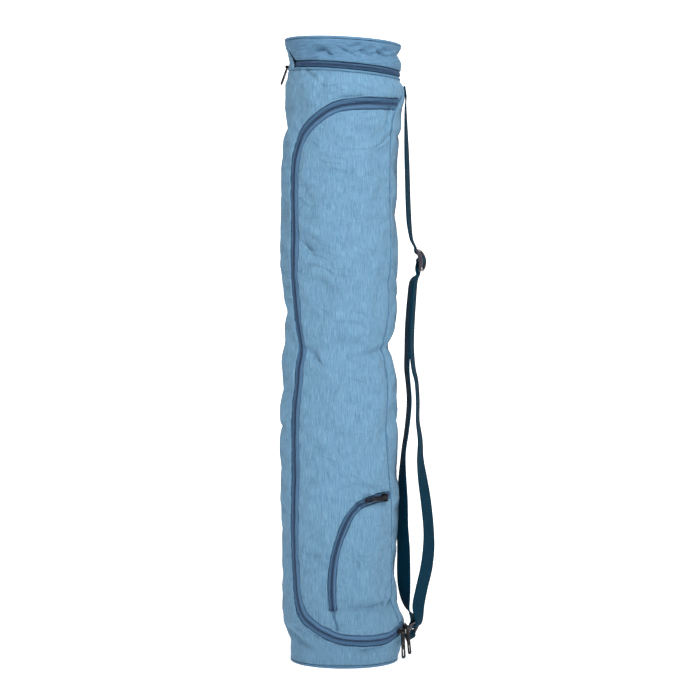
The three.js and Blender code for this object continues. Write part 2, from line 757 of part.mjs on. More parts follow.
// The middle of a disc, a small plug that closes its hub
function clothHub(topAt, sag) {
  const edge = wallAt(0, topAt(0), -weltDiameter - pieceGap);
  const radius = Math.abs(edge.y) * discHubShare;
  const hub = new THREE.CylinderGeometry(radius, radius, clothWall, 12);
  hub.rotateX(Math.PI / 2);
  hub.translate(0, 0, topAt(0) - sag - clothWall / 2);
  return toSolid(hub);
}
const lidTopAt = (angle) => rimAt(angle) - weltDiameter / 2;
const lidTop = clothDisc(lidTopAt, lidTopSag).add(clothHub(lidTopAt, lidTopSag));
addPiece('lid_top', toGeometry(lidTop), clothBlue);

// The bottom is flat, so that the bag stands on it
function basePanel() {
  const outline = [];
  for (let k = 0; k < ringColumns; k += 1) {
    const edge = wallAt(360 * k / ringColumns, 0, -weltDiameter - pieceGap);
    outline.push(new THREE.Vector2(edge.x, edge.y));
  }
  return new THREE.ExtrudeGeometry(new THREE.Shape(outline), { depth: clothWall, bevelEnabled: false });
}
addPiece('base_panel', basePanel(), clothBlue);

// Sliders and pulls

// A frame on the wall: outward normal and a direction that lies in the wall.
function wallFrame(angle, z, turn, out) {
  const nudge = 0.5;
  const east = wallAt(angle + nudge, z, out).sub(wallAt(angle - nudge, z, out)).normalize();
  const north = wallAt(angle, z + nudge, out).sub(wallAt(angle, z - nudge, out)).normalize();
  const normal = new THREE.Vector3().crossVectors(east, north).normalize();
  const along = east.clone().applyAxisAngle(normal, radians(turn));
  const across = new THREE.Vector3().crossVectors(normal, along);
  return { origin: wallAt(angle, z, out), along, across, normal };
}

function boxAt(sizeX, sizeY, sizeZ, x, y, z) {
  const geometry = new THREE.BoxGeometry(sizeX, sizeY, sizeZ);
  geometry.translate(x, y, z);
  return toSolid(geometry);
}

function barAlongX(radius, length, sides, z) {
  const geometry = new THREE.CylinderGeometry(radius, radius, length, sides);
  geometry.rotateZ(Math.PI / 2);
  geometry.translate(0, 0, z);
  return toSolid(geometry);
}

// The slider lies in its local XY plane with its bar along X.
function sliderGeometry() {
  const lugX = sliderLength / 2 - lugThickness / 2;
  const outline = new THREE.Shape();
  const halfL = sliderLength / 2;
  const halfW = sliderWidth / 2;
  const cut = sliderWidth / 4;
  outline.moveTo(-halfL, -halfW + cut);
  outline.lineTo(-halfL + cut, -halfW);
  outline.lineTo(halfL - cut, -halfW);
  outline.lineTo(halfL, -halfW + cut);
  outline.lineTo(halfL, halfW - cut);
  outline.lineTo(halfL - cut, halfW);
  outline.lineTo(-halfL + cut, halfW);
  outline.lineTo(-halfL, halfW - cut);
  const plate = toSolid(new THREE.ExtrudeGeometry(outline, { depth: sliderPlate, bevelEnabled: false }));
  const lugTop = barHeight + 2 * barRadius;
  const lugSpan = lugTop - sliderPlate / 2;
  const lugMiddle = sliderPlate / 2 + lugSpan / 2;
  const lugDepth = 3 * barRadius + pieceGap;
  let solid = plate;
  for (const side of [-1, 1]) {
    solid = solid.add(boxAt(lugThickness, lugDepth, lugSpan, side * lugX, 0, lugMiddle));
  }
  return toGeometry(solid.add(barAlongX(barRadius, sliderLength - lugThickness, 8, barHeight)));
}

// The pull hangs along its local -Y from an eye round the X axis.
function pullGeometry(length) {
  const hole = barRadius + eyeClearance;
  const eye = hole + eyeWall;
  const eyeLength = sliderLength - 2 * lugThickness - 2 * pieceGap;
  const plate = new THREE.Shape();
  const half = pullWidth / 2;
  const neck = eyeLength / 2 * 0.8;
  plate.moveTo(-neck, 0);
  plate.lineTo(-neck, -2 * eye);
  plate.lineTo(-half, -3 * eye);
  plate.absarc(0, -length + half, half, Math.PI, 2 * Math.PI, false);
  plate.lineTo(half, -3 * eye);
  plate.lineTo(neck, -2 * eye);
  plate.lineTo(neck, 0);
  const slot = new THREE.Path();
  const slotHalf = pullSlotWidth / 2;
  const slotLow = -length + pullSlotRim;
  const slotHigh = slotLow + pullSlotLength;
  slot.moveTo(-slotHalf, slotHigh);
  slot.lineTo(-slotHalf, slotLow);
  slot.lineTo(slotHalf, slotLow);
  slot.lineTo(slotHalf, slotHigh);
  plate.holes.push(slot);
  const settings = { depth: pullThickness, bevelEnabled: false, curveSegments: 3 };
  const body = new THREE.ExtrudeGeometry(plate, settings);
  body.translate(0, 0, -pullThickness / 2);
  const solid = toSolid(body)
    .add(barAlongX(eye, eyeLength, 8, 0))
    .subtract(barAlongX(hole, sliderLength, 8, 0));
  return toGeometry(solid);
}

function placeByAxes(mesh, origin, x, y, z) {
  mesh.quaternion.setFromRotationMatrix(new THREE.Matrix4().makeBasis(x, y, z));
  mesh.position.copy(origin);
}

// A slider on the coil, and its pull, which points along the given direction.
function sliderWithPull(sliderName, pullName, angle, z, turn, length, pointing) {
  const frame = wallFrame(angle, z, turn, coilRise + sliderSeat);
  const slider = addPiece(sliderName, sliderGeometry(), blackMetal);
  placeByAxes(slider, frame.origin, frame.along, frame.across, frame.normal);
  const barMiddle = frame.origin.clone().addScaledVector(frame.normal, barHeight);
  const down = pointing(frame, barMiddle);
  down.addScaledVector(frame.along, -down.dot(frame.along)).normalize();
  const up = down.clone().negate();
  const face = new THREE.Vector3().crossVectors(frame.along, up);
  const pull = addPiece(pullName, pullGeometry(length), blackMetal);
  placeByAxes(pull, barMiddle, frame.along, up, face);
}

const hanging = () => new THREE.Vector3(0, 0, -1);
const sweptOut = (degrees) => (frame) => {
  const outwards = new THREE.Vector3(frame.normal.x, frame.normal.y, 0).normalize();
  return outwards.multiplyScalar(Math.tan(radians(degrees))).add(new THREE.Vector3(0, 0, -1));
};

function heightOnLine(line, angle) {
  const x = radians(angle) * bodyRadius;
  let best = line[0];
  for (const p of line) {
    if (Math.abs(p.x - x) < Math.abs(best.x - x)) best = p;
  }
  return best.y;
}
const zipTail = mainZipLine.filter((p) => p.x > 0 && p.y < bagHeight / 2);
sliderWithPull('main_slider_left', 'main_pull_left', leftSliderAngle,
  heightOnLine(zipTail, leftSliderAngle), leftSliderTurn, mainPullLength, hanging);
sliderWithPull('main_slider_right', 'main_pull_right', rightSliderAngle,
  heightOnLine(zipTail, rightSliderAngle), 0, mainPullLength, sweptOut(rightPullSweep));

// The pocket's pull lies along its zip, towards the front.
const pocketSliderHeight = heightOnLine(pocketZipLine, pocketSliderAngle);
const pocketTip = wallAt(pocketPullTip.angle, pocketPullTip.height * collarHeight, pocketPullTip.out);
sliderWithPull('pocket_slider', 'pocket_pull', pocketSliderAngle, pocketSliderHeight, pocketSliderTurn,
  pocketPullLength,
  (frame, from) => pocketTip.sub(from));

sliderWithPull('lid_slider', 'lid_pull', lidSliderAngle, lidZipMiddle(lidSliderAngle), 0, lidPullLength,
  sweptOut(lidPullSweep));

// Strap hardware

const planePoint = (place) => new THREE.Vector2(place.out * bodyRadius, place.height * bagHeight);

// Adjuster: a frame with two slots and a round pin between them
const adjusterAt = planePoint(adjusterPlace);
const adjusterDown = new THREE.Vector2(Math.sin(radians(adjusterLean)), -Math.cos(radians(adjusterLean)));
const adjusterOut = new THREE.Vector2(Math.cos(radians(adjusterLean)), Math.sin(radians(adjusterLean)));

function adjusterGeometry() {
  const slotWidth = strapWidth + 2 * slotClearance;
  const halfW = slotWidth / 2 + adjusterBar;
  const halfH = adjusterHeight / 2;
  const round = adjusterCorner;
  const outline = new THREE.Shape();
  outline.absarc(halfW - round, -halfH + round, round, -Math.PI / 2, 0, false);
  outline.absarc(halfW - round, halfH - round, round, 0, Math.PI / 2, false);
  outline.absarc(-halfW + round, halfH - round, round, Math.PI / 2, Math.PI, false);
  outline.absarc(-halfW + round, -halfH + round, round, Math.PI, 1.5 * Math.PI, false);
  const window = new THREE.Path();
  const slotH = halfH - adjusterBar;
  window.moveTo(-slotWidth / 2, -slotH);
  window.lineTo(-slotWidth / 2, slotH);
  window.lineTo(slotWidth / 2, slotH);
  window.lineTo(slotWidth / 2, -slotH);
  outline.holes.push(window);
  const settings = { depth: adjusterThickness, bevelEnabled: false, curveSegments: 3 };
  const plate = new THREE.ExtrudeGeometry(outline, settings);
  plate.translate(0, 0, -adjusterThickness / 2);
  const pin = barAlongX(adjusterPinRadius, slotWidth + adjusterBar, 10, 0);
  return toGeometry(toSolid(plate).add(pin));
}
const adjuster = addPiece('strap_adjuster', adjusterGeometry(), blackPlastic);
placeByAxes(adjuster, new THREE.Vector3(adjusterAt.x, strapDepth, adjusterAt.y),
  new THREE.Vector3(0, 1, 0), new THREE.Vector3(-adjusterDown.x, 0, -adjusterDown.y),
  new THREE.Vector3(adjusterOut.x, 0, adjusterOut.y));

// Ring: a rounded rectangle of wire, seen edge-on from the front
const ringAt = planePoint(ringPlace);
const ringUp = new THREE.Vector2(Math.sin(radians(ringLean)), Math.cos(radians(ringLean)));
const ringBarReach = (ringHeight - ringWire) / 2;

function ringGeometry() {
  const halfW = strapWidth / 2 + slotClearance + ringWire / 2;
  const corner = slotClearance + ringWire / 2;
  const path = new THREE.Shape();
  path.absarc(halfW - corner, ringBarReach - corner, corner, 0, Math.PI / 2, false);
  path.absarc(-halfW + corner, ringBarReach - corner, corner, Math.PI / 2, Math.PI, false);
  path.absarc(-halfW + corner, -ringBarReach + corner, corner, Math.PI, 1.5 * Math.PI, false);
  path.absarc(halfW - corner, -ringBarReach + corner, corner, 1.5 * Math.PI, 2 * Math.PI, false);
  const line = path.getPoints(2).filter((p, k, all) => k === 0 || p.distanceTo(all[k - 1]) > 1e-6);
  if (line[0].distanceTo(line[line.length - 1]) < 1e-6) line.pop();
  const stations = line.map((p, k) => {
    const before = line[(k + line.length - 1) % line.length];
    const after = line[(k + 1) % line.length];
    const run = after.clone().sub(before).normalize();
    const wire = roundSection(ringWire / 2, ringSides);
    return wire.map(([a, b]) => new THREE.Vector3(p.x - run.y * a, p.y + run.x * a, b));
  });
  return sweep(stations, true);
}
const ring = addPiece('strap_ring', ringGeometry(), blackPlastic);
placeByAxes(ring, new THREE.Vector3(ringAt.x, strapDepth, ringAt.y),
  new THREE.Vector3(0, 1, 0), new THREE.Vector3(ringUp.x, 0, ringUp.y),
  new THREE.Vector3(ringUp.y, 0, -ringUp.x));

// Webbing

// A ribbon through rows of x, z and twist, its width along Y before the twist.
function ribbon(rows, steps, depth) {
  const path = rows.map((r) => new THREE.Vector3(r.x, r.twist, r.z));
  const middle = new THREE.CatmullRomCurve3(path, false, 'centripetal');
  const stations = [];
  const count = rows.length - 1;
  for (let k = 0; k <= count * steps; k += 1) {
    const t = k / (count * steps);
    const p = middle.getPoint(t);
    const run = middle.getTangent(t);
    const tangent = new THREE.Vector3(run.x, 0, run.z).normalize();
    const faceOut = new THREE.Vector3(-tangent.z, 0, tangent.x);
    const twist = radians(p.y);
    const side = new THREE.Vector3(0, Math.cos(twist), 0).addScaledVector(faceOut, Math.sin(twist));
    const normal = new THREE.Vector3().crossVectors(tangent, side);
    const centre = new THREE.Vector3(p.x, depth, p.z);
    const corner = (a, b) => centre.clone().addScaledVector(side, a * strapWidth / 2)
      .addScaledVector(normal, b * strapThickness / 2);
    stations.push([corner(-1, -1), corner(1, -1), corner(1, 1), corner(-1, 1)]);
  }
  return sweep(stations, false);
}

const strapRow = (row) => ({ x: row.out * bodyRadius, z: row.height * bagHeight, twist: row.twist });

// Rows given in the adjuster's own frame: distance down, distance outwards
const besideAdjuster = (down, out) => ({
  x: adjusterAt.x + adjusterDown.x * down + adjusterOut.x * out,
  z: adjusterAt.y + adjusterDown.y * down + adjusterOut.y * out,
  twist: 0,
});
const layer = strapThickness + pieceGap;
const innerLayer = -adjusterThickness / 2 - pieceGap - strapThickness / 2;
const pinLayer = adjusterPinRadius + pinClearance + strapThickness / 2;
const overPin = pinLayer + layer + strandClearance;
const barMiddleDown = adjusterHeight / 2 - adjusterBar / 2;
const throughAdjuster = [
  besideAdjuster(-barMiddleDown - slotRun, innerLayer),
  besideAdjuster(-barMiddleDown + slotEntry, innerLayer),
  besideAdjuster(-barMiddleDown / 2 + 0.2, overPin * 0.24),
  besideAdjuster(-overPin * 0.53, overPin * 0.86),
  besideAdjuster(0, overPin),
  besideAdjuster(overPin * 0.53, overPin * 0.86),
  besideAdjuster(barMiddleDown / 2 - 0.2, overPin * 0.24),
  besideAdjuster(barMiddleDown - slotEntry, innerLayer),
  besideAdjuster(barMiddleDown + slotRun, innerLayer),
];
const roundPin = [
  besideAdjuster(barMiddleDown + slotRun, innerLayer - layer),
  besideAdjuster(barMiddleDown - slotEntry, innerLayer - layer),
  besideAdjuster(barMiddleDown / 2 - 0.4, innerLayer - layer * 0.55),
  besideAdjuster(pinLayer * 0.7, -pinLayer * 0.98),
  besideAdjuster(-pinLayer * 0.3, -pinLayer * 0.96),
  besideAdjuster(-pinLayer * 0.95, -pinLayer * 0.32),
  besideAdjuster(-pinLayer * 0.78, pinLayer * 0.62),
  besideAdjuster(0, pinLayer),
];

// Rows given in the ring's own frame: distance up along the ring, distance outwards
const besideRing = (up, out) => ({
  x: ringAt.x + ringUp.x * up + ringUp.y * out,
  z: ringAt.y + ringUp.y * up - ringUp.x * out,
  twist: 0,
});
const wrap = ringWire / 2 + 1.6 * pieceGap + strapThickness / 2;
const roundRingTop = [
  besideRing(ringBarReach + slotRun, wrap * 1.02),
  besideRing(ringBarReach, wrap),
  besideRing(ringBarReach - wrap * 0.7, wrap * 0.72),
  besideRing(ringBarReach - wrap, 0),
  besideRing(ringBarReach - wrap * 0.7, -wrap * 0.72),
  besideRing(ringBarReach, -wrap),
  besideRing(ringBarReach + slotRun, -wrap * 1.1),
];

// The strap's top end lies against the wall where it is sewn to the side.
const strapAngle = (z) => 90 + THREE.MathUtils.radToDeg(strapDepth / wallAt(90, z, 0).x);
const seatedRow = (z) => ({
  x: wallAt(strapAngle(z), z, strapSeatClearance + strapThickness / 2).x,
  z,
  twist: 0,
});
const strapTopZ = strapTopShare * bagHeight;
const strapRows = [
  seatedRow(strapTopZ),
  seatedRow(strapTopZ - strapSeatLength),
  ...strapUpper.map(strapRow),
  ...throughAdjuster,
  ...strapOuter.map(strapRow),
  ...roundRingTop,
  ...strapInner.map(strapRow),
  ...roundPin,
];
addPiece('shoulder_strap', ribbon(strapRows, 1, strapDepth), strapTeal);

// The ring's tab: webbing from the side, round the ring's lower bar and back
const tabX = (z) => wallAt(strapAngle(z), z, tabSeatClearance).x;
const tabSpread = wrap * 1.5;
const tabZ = ringAt.y + tabRise;
const tabRows = [
  { x: tabX(tabZ + tabSpread / 2), z: tabZ + tabSpread / 2, twist: 0 },
  besideRing(-ringBarReach + wrap * 1.2, wrap * 0.1),
  besideRing(-ringBarReach + wrap * 0.75, wrap * 0.75),
  besideRing(-ringBarReach, wrap),
  besideRing(-ringBarReach - wrap * 0.75, wrap * 0.7),
  besideRing(-ringBarReach - wrap, 0),
  besideRing(-ringBarReach - wrap * 0.72, -wrap * 0.72),
  { x: tabX(tabZ - tabSpread / 2), z: tabZ - tabSpread / 2, twist: 0 },
];
addPiece('ring_tab', ribbon(tabRows, 2, strapDepth), strapTeal);

export default bag;
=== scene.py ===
import json
import math

import bmesh
import bpy
import numpy as np
from mathutils import Matrix, Vector
from mathutils.geometry import delaunay_2d_cdt


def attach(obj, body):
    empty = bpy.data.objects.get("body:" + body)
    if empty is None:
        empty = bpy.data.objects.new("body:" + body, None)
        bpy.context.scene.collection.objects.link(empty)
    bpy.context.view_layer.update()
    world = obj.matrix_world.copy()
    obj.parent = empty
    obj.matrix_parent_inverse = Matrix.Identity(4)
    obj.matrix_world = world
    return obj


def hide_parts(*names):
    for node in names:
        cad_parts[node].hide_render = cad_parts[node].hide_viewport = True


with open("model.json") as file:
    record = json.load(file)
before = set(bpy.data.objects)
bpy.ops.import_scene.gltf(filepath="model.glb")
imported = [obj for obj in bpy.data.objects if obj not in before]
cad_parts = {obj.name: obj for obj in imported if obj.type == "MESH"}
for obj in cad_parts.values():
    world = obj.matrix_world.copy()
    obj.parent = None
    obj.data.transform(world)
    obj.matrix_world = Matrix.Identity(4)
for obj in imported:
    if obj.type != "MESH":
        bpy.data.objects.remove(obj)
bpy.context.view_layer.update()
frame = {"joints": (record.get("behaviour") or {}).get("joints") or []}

# Sizes in millimetres; the scene itself is in metres
MM = 0.001

BAG_HEIGHT = 680
BODY_RADIUS = 63
CLOTH_WALL = 2
PIECE_GAP = 0.35
WELT = 3
COLLAR_WELT = 2.6
LID_DEPTH = 37.5
COLLAR_HEIGHT = BAG_HEIGHT - LID_DEPTH
COLLAR_DROP = 5
RIM_DROP = 3.2
LID_TOP_SAG = 4
BODY_LOW = WELT + PIECE_GAP

MAIN_ZIP_HALF = 7.25
POCKET_ZIP_HALF = 5
LID_ZIP_HALF = 3.5
SIDE_SEAM_HALF = 1.7
POCKET_SEAM_HALF = 1.3
LID_ZIP_START = -62
LID_ZIP_END = 258
HINGE_TOP = -84

STRAP_WIDTH = 25
STRAP_THICKNESS = 1.5
STRAP_DEPTH = 5
SLOT_CLEARANCE = 0.6
ADJUSTER_HEIGHT = 25
ADJUSTER_THICKNESS = 2.5
ADJUSTER_BAR = 3
ADJUSTER_PIN = 1.2
ADJUSTER_LEAN = 8
RING_HEIGHT = 20
RING_WIRE = 3.6
RING_LEAN = 26.6
TAB_RISE = 4
TAB_SEAT = 0.95
STRAP_SEAT_CLEARANCE = 0.85

# Sizes that only the finish has
NET_SPACING = 3.0
EDGE_ROWS = (0.0, 0.35, 0.8, 1.4, 2.2, 3.2)
EDGE_STEP = 2.0
EDGE_ROLL = 1.5
EDGE_DROP = 1.1
STITCH_INSET = 2.3
STITCH_PITCH = 3.0
STITCH_GROOVE = 0.22
TOOTH_PITCH = 1.45
TOOTH_REACH = 2.1
TEETH_LEVEL = -0.6
RING_STEP = 1.2
PIPING_STEPS = 180
PIPING_SIDES = 14


def table(names, rows):
    """Rows of values as one array for each column."""
    return {name: np.array([row[i] for row in rows], float) for i, name in enumerate(names)}


# Sections of the tube, bottom to top, as shares of the bag's height and the body's radius
SECTIONS = table(("height", "left", "right"), [
    (0.004, 0.948, 0.93), (0.02, 0.951, 0.96), (0.036, 0.959, 1.0), (0.05, 1.0, 1.04),
    (0.064, 1.06, 1.04), (0.085, 1.078, 0.96), (0.106, 1.078, 0.905), (0.15, 1.08, 0.878),
    (0.2, 1.083, 0.898), (0.26, 1.113, 0.937), (0.31, 1.113, 0.913), (0.4, 1.124, 0.913),
    (0.454, 1.078, 0.895), (0.487, 1.095, 0.832), (0.512, 1.07, 0.808), (0.537, 1.041, 0.863),
    (0.565, 1.029, 0.905), (0.6, 1.06, 0.895), (0.65, 1.113, 0.911), (0.72, 1.095, 0.878),
    (0.8, 1.095, 0.895), (0.843, 1.06, 0.93), (0.862, 1.024, 0.973), (0.886, 1.013, 0.984),
    (0.9075, 1.008, 1.04), (0.927, 1.008, 1.027), (0.9365, 1.008, 0.957), (0.954, 0.987, 0.978),
    (0.966, 0.962, 0.99), (0.9787, 0.983, 0.93), (0.99, 1.029, 0.983), (1.0, 1.048, 0.976),
])

# Folds: place, half length, half width and depth as shares of the radius, turn from level
FOLD_COLUMNS = ("angle", "height", "length", "width", "turn", "depth")
FOLDS = table(FOLD_COLUMNS, [
    (-52, 0.042, 0.4, 0.09, -30, -0.06),      # crease under the overhang
    (-60, 0.08, 0.5, 0.2, -25, 0.02),         # the overhang's bulge
    (2, 0.036, 0.6, 0.1, -4, -0.03),          # dent under the door
    (42, 0.512, 0.95, 0.16, 0, -0.05),        # waist pinch
    (-36, 0.505, 0.4, 0.25, -25, -0.03),      # waist dent on the left
    (24, 0.384, 0.95, 0.16, 52, 0.026),       # diagonal ridge
    (38, 0.355, 0.8, 0.18, 52, -0.024),       # diagonal hollow
    (42, 0.621, 0.5, 0.14, -24, -0.022),      # upper crease
    (-40, 0.675, 0.3, 0.14, -45, -0.024),     # dent beside the zip
    (26, 0.0995, 0.75, 0.09, -2, -0.028),     # crease across the pocket
    (58, 0.092, 0.25, 0.13, 60, -0.025),      # gather at the pocket's side
    (22, 0.17, 0.7, 0.6, 0, 0.02),            # fullness of the pocket
    (-22, 0.977, 0.35, 0.07, -20, -0.028),    # dent in the lid, left
    (42, 0.9775, 0.6, 0.08, -8, -0.032),      # dent in the lid, right
    (165, 0.5, 0.9, 0.18, 12, -0.045),        # waist fold at the back
    (205, 0.72, 0.8, 0.2, -35, -0.03),        # upper fold at the back
    (150, 0.24, 0.8, 0.2, 40, -0.032),        # lower fold at the back
    (250, 0.36, 0.7, 0.16, 25, -0.028),       # fold at the left of the back
])

# Middle lines of the zips and seams: angle, share of the collar's height
MAIN_ZIP = [
    (65.2, 0.9499), (40, 0.9483), (14.7, 0.9467), (-8, 0.9409), (-29, 0.9213), (-43, 0.8996),
    (-50.5, 0.8721), (-54.8, 0.8255), (-55, 0.762), (-53.5, 0.7036), (-54.9, 0.6447),
    (-53.4, 0.5941), (-48.2, 0.552), (-46, 0.5285), (-48.5, 0.4982), (-50.9, 0.451),
    (-52.4, 0.3667), (-52.8, 0.2791), (-54.1, 0.2079), (-53.4, 0.1472), (-49.5, 0.1095),
    (-41.9, 0.0852), (-31.9, 0.073), (-20, 0.0614), (-6, 0.0519), (12, 0.0478), (32, 0.0464),
    (50, 0.0489), (62, 0.0556), (71, 0.0598), (80, 0.0609),
]
POCKET_ZIP = [
    (56, 0.2899), (44, 0.2884), (32.1, 0.2858), (21.5, 0.2808), (13.1, 0.2728), (5.2, 0.258),
    (-0.6, 0.2379), (-5.9, 0.2144), (-9.4, 0.1925), (-11.6, 0.1689), (-12.6, 0.1438),
    (-12.4, 0.1189), (-11.7, 0.0991),
]
POCKET_SEAM = [(-11.4, 0.0979), (-9.2, 0.0828), (-7, 0.0715), (-7.2, 0.0673)]
SIDE_SEAM = table(("height", "angle"), [
    (0.0, 68), (0.0953, 66.5), (0.128, 65.2), (0.1783, 65), (0.2473, 61), (0.2986, 57.8),
    (0.3412, 54.1), (0.3837, 51.5), (0.4339, 51.4), (0.5012, 53.9), (0.5683, 54.8),
    (0.6191, 56.5), (0.6868, 57.6), (0.7477, 60.4), (0.8255, 59.6), (0.889, 58),
    (0.9106, 56.5), (0.9225, 58.1), (0.9378, 63), (0.9618, 70.7), (0.9906, 85.5),
])

# The strap's stretches: share of the bag's height, reach from the axis, twist
STRAP_UPPER = [
    (0.893, 1.062, 4), (0.859, 1.07, 8), (0.826, 1.08, 11), (0.778, 1.096, 12), (0.746, 1.105, 12),
    (0.713, 1.122, 12), (0.697, 1.14, 10), (0.682, 1.17, 7),
]
STRAP_OUTER = [
    (0.616, 1.243, 9), (0.584, 1.206, 12), (0.535, 1.175, 12), (0.503, 1.175, 11),
    (0.471, 1.21, 10), (0.454, 1.254, 9), (0.42, 1.28, 9), (0.388, 1.28, 9), (0.357, 1.322, 12),
    (0.325, 1.325, 17), (0.293, 1.367, 24), (0.26, 1.42, 27), (0.212, 1.472, 28),
    (0.179, 1.472, 32), (0.147, 1.43, 34), (0.115, 1.35, 32), (0.09, 1.298, 26),
]
STRAP_INNER = [
    (0.085, 1.09, 20), (0.115, 1.045, 32), (0.14, 1.035, 34), (0.179, 1.032, 32),
    (0.22, 1.016, 27), (0.26, 1.016, 24), (0.293, 1.012, 18), (0.325, 1.022, 10),
    (0.341, 1.035, 8), (0.374, 1.087, 8), (0.42, 1.13, 9), (0.454, 1.105, 9), (0.471, 1.088, 10),
    (0.503, 1.095, 11), (0.535, 1.105, 12), (0.584, 1.143, 12), (0.616, 1.183, 9),
]
ADJUSTER_PLACE = (0.6485, 1.305)
RING_PLACE = (0.0469, 1.183)


# The shape of the bag's wall

def table_value(rows, key, share):
    heights = rows["height"]
    values = rows[key]
    share = np.clip(share, heights[0], heights[-1])
    i = np.clip(np.searchsorted(heights, share, side="right") - 1, 0, len(heights) - 2)
    before = np.maximum(i - 1, 0)
    after = np.minimum(i + 2, len(heights) - 1)
    step = heights[i + 1] - heights[i]
    t = (share - heights[i]) / step
    slope_a = (values[i + 1] - values[before]) / (heights[i + 1] - heights[before]) * step
    slope_b = (values[after] - values[i]) / (heights[after] - heights[i]) * step
    t2 = t * t
    t3 = t2 * t
    return ((2 * t3 - 3 * t2 + 1) * values[i] + (t3 - 2 * t2 + t) * slope_a
            + (3 * t2 - 2 * t3) * values[i + 1] + (t3 - t2) * slope_b)


def fold_push(folds, angle, z):
    push = np.zeros_like(angle)
    for k in range(len(folds["angle"])):
        turn = math.radians(folds["turn"][k])
        swing = angle - folds["angle"][k]
        swing = swing - 360 * np.round(swing / 360)
        across = np.radians(swing) * BODY_RADIUS
        up = z - folds["height"][k] * BAG_HEIGHT
        along = (across * math.cos(turn) + up * math.sin(turn)) / (folds["length"][k] * BODY_RADIUS)
        side = (up * math.cos(turn) - across * math.sin(turn)) / (folds["width"][k] * BODY_RADIUS)
        push += folds["depth"][k] * BODY_RADIUS * np.exp(-along * along - side * side)
    return push


def wall_at(angle, z, out):
    """Points of the wall: angle from the front towards +X, height, distance outwards."""
    angle, z, out = np.broadcast_arrays(*(np.asarray(v, float) for v in (angle, z, out)))
    share = z / BAG_HEIGHT
    left = table_value(SECTIONS, "left", share) * BODY_RADIUS
    right = table_value(SECTIONS, "right", share) * BODY_RADIUS
    half = (left + right) / 2
    shift = (right - left) / 2
    s = np.sin(np.radians(angle))
    c = np.cos(np.radians(angle))
    reach = out + fold_push(FOLDS, angle, z)
    return np.stack([s * (half + shift * s + reach), -c * (half + reach), z], axis=-1)


WRAP_X = math.pi * BODY_RADIUS


def angle_of(x):
    return np.degrees(x / BODY_RADIUS)


def flat_x(angle):
    return np.radians(angle) * BODY_RADIUS


def collar_at(angle):
    return COLLAR_HEIGHT - COLLAR_DROP * np.sin(np.radians(angle))


def rim_at(angle):
    return BAG_HEIGHT - RIM_DROP * np.sin(np.radians(angle))


def lid_zip_low(angle):
    return collar_at(angle) + COLLAR_WELT + PIECE_GAP


def lid_band_low(angle):
    return lid_zip_low(angle) + 2 * LID_ZIP_HALF + PIECE_GAP


def lid_band_high(angle):
    return rim_at(angle) - WELT - PIECE_GAP


# Smooth noise with a fixed seed, for the cloth's unevenness

def soft_noise(points, size, seed):
    """Smooth random values from -1 to 1 at points, with features of the given size."""
    p = np.asarray(points, float) / size
    cell = np.floor(p).astype(np.int64)
    t = p - cell
    t = t * t * (3 - 2 * t)
    total = np.zeros(len(p))
    for corner in range(8):
        step = np.array([corner & 1, (corner >> 1) & 1, (corner >> 2) & 1])
        c = cell + step
        mixed = c[:, 0] * 73856093 ^ c[:, 1] * 19349663 ^ c[:, 2] * 83492791 ^ seed * 2654435
        mixed = (mixed ^ (mixed >> 13)) * 1274126177
        value = ((mixed ^ (mixed >> 16)) & 65535) / 32767.5 - 1
        total += value * np.prod(np.where(step, t, 1 - t), axis=1)
    return total


# Lines on the flat cloth: x runs round the tube, y is height

def catmull_rom(points, per_span):
    """A centripetal curve through points."""
    p = np.asarray(points, float)
    p = np.vstack([2 * p[0] - p[1], p, 2 * p[-1] - p[-2]])
    t = (np.arange(per_span) / per_span)[:, None]
    spans = []
    for k in range(len(p) - 3):
        a, b, c, d = p[k:k + 4]
        before, here, after = (np.sum((v - u) ** 2) ** 0.25 for u, v in ((a, b), (b, c), (c, d)))
        t1 = ((b - a) / before - (c - a) / (before + here) + (c - b) / here) * here
        t2 = ((c - b) / here - (d - b) / (here + after) + (d - c) / after) * here
        spans.append(b + t1 * t + (3 * (c - b) - 2 * t1 - t2) * t ** 2 + (2 * (b - c) + t1 + t2) * t ** 3)
    return np.vstack(spans + [p[-2:-1]])


def run_length(line):
    return np.concatenate([[0], np.cumsum(np.linalg.norm(np.diff(line, axis=0), axis=1))])


def resample(line, spacing):
    lengths = run_length(line)
    steps = max(2, round(lengths[-1] / spacing))
    wanted = np.linspace(0, lengths[-1], steps + 1)
    return np.stack([np.interp(wanted, lengths, line[:, i]) for i in range(line.shape[1])], axis=1)


def sideways(line):
    run = np.gradient(line, axis=0)
    run /= np.linalg.norm(run, axis=1)[:, None]
    return np.stack([-run[:, 1], run[:, 0]], axis=1)


def flat_line(rows):
    points = [(math.radians(angle) * BODY_RADIUS, height * COLLAR_HEIGHT) for angle, height in rows]
    return resample(catmull_rom(points, 12), EDGE_STEP)


def seam_x(y):
    return flat_x(table_value(SIDE_SEAM, "angle", np.asarray(y, float) / COLLAR_HEIGHT))


def line_distance(line, points):
    """Distance from flat points to a flat line, and how far along it the nearest place is."""
    starts = line[:-1]
    runs = line[1:] - starts
    squares = np.sum(runs * runs, axis=1)
    lengths = run_length(line)[:-1]
    best = np.full(len(points), np.inf)
    where = np.zeros(len(points))
    for a, run, square, length in zip(starts, runs, squares, lengths):
        offset = points - a
        t = np.clip(offset @ run / square, 0, 1)
        distance = np.hypot(offset[:, 0] - t * run[0], offset[:, 1] - t * run[1])
        nearer = distance < best
        best[nearer] = distance[nearer]
        where[nearer] = length + t[nearer] * math.sqrt(square)
    return best, where


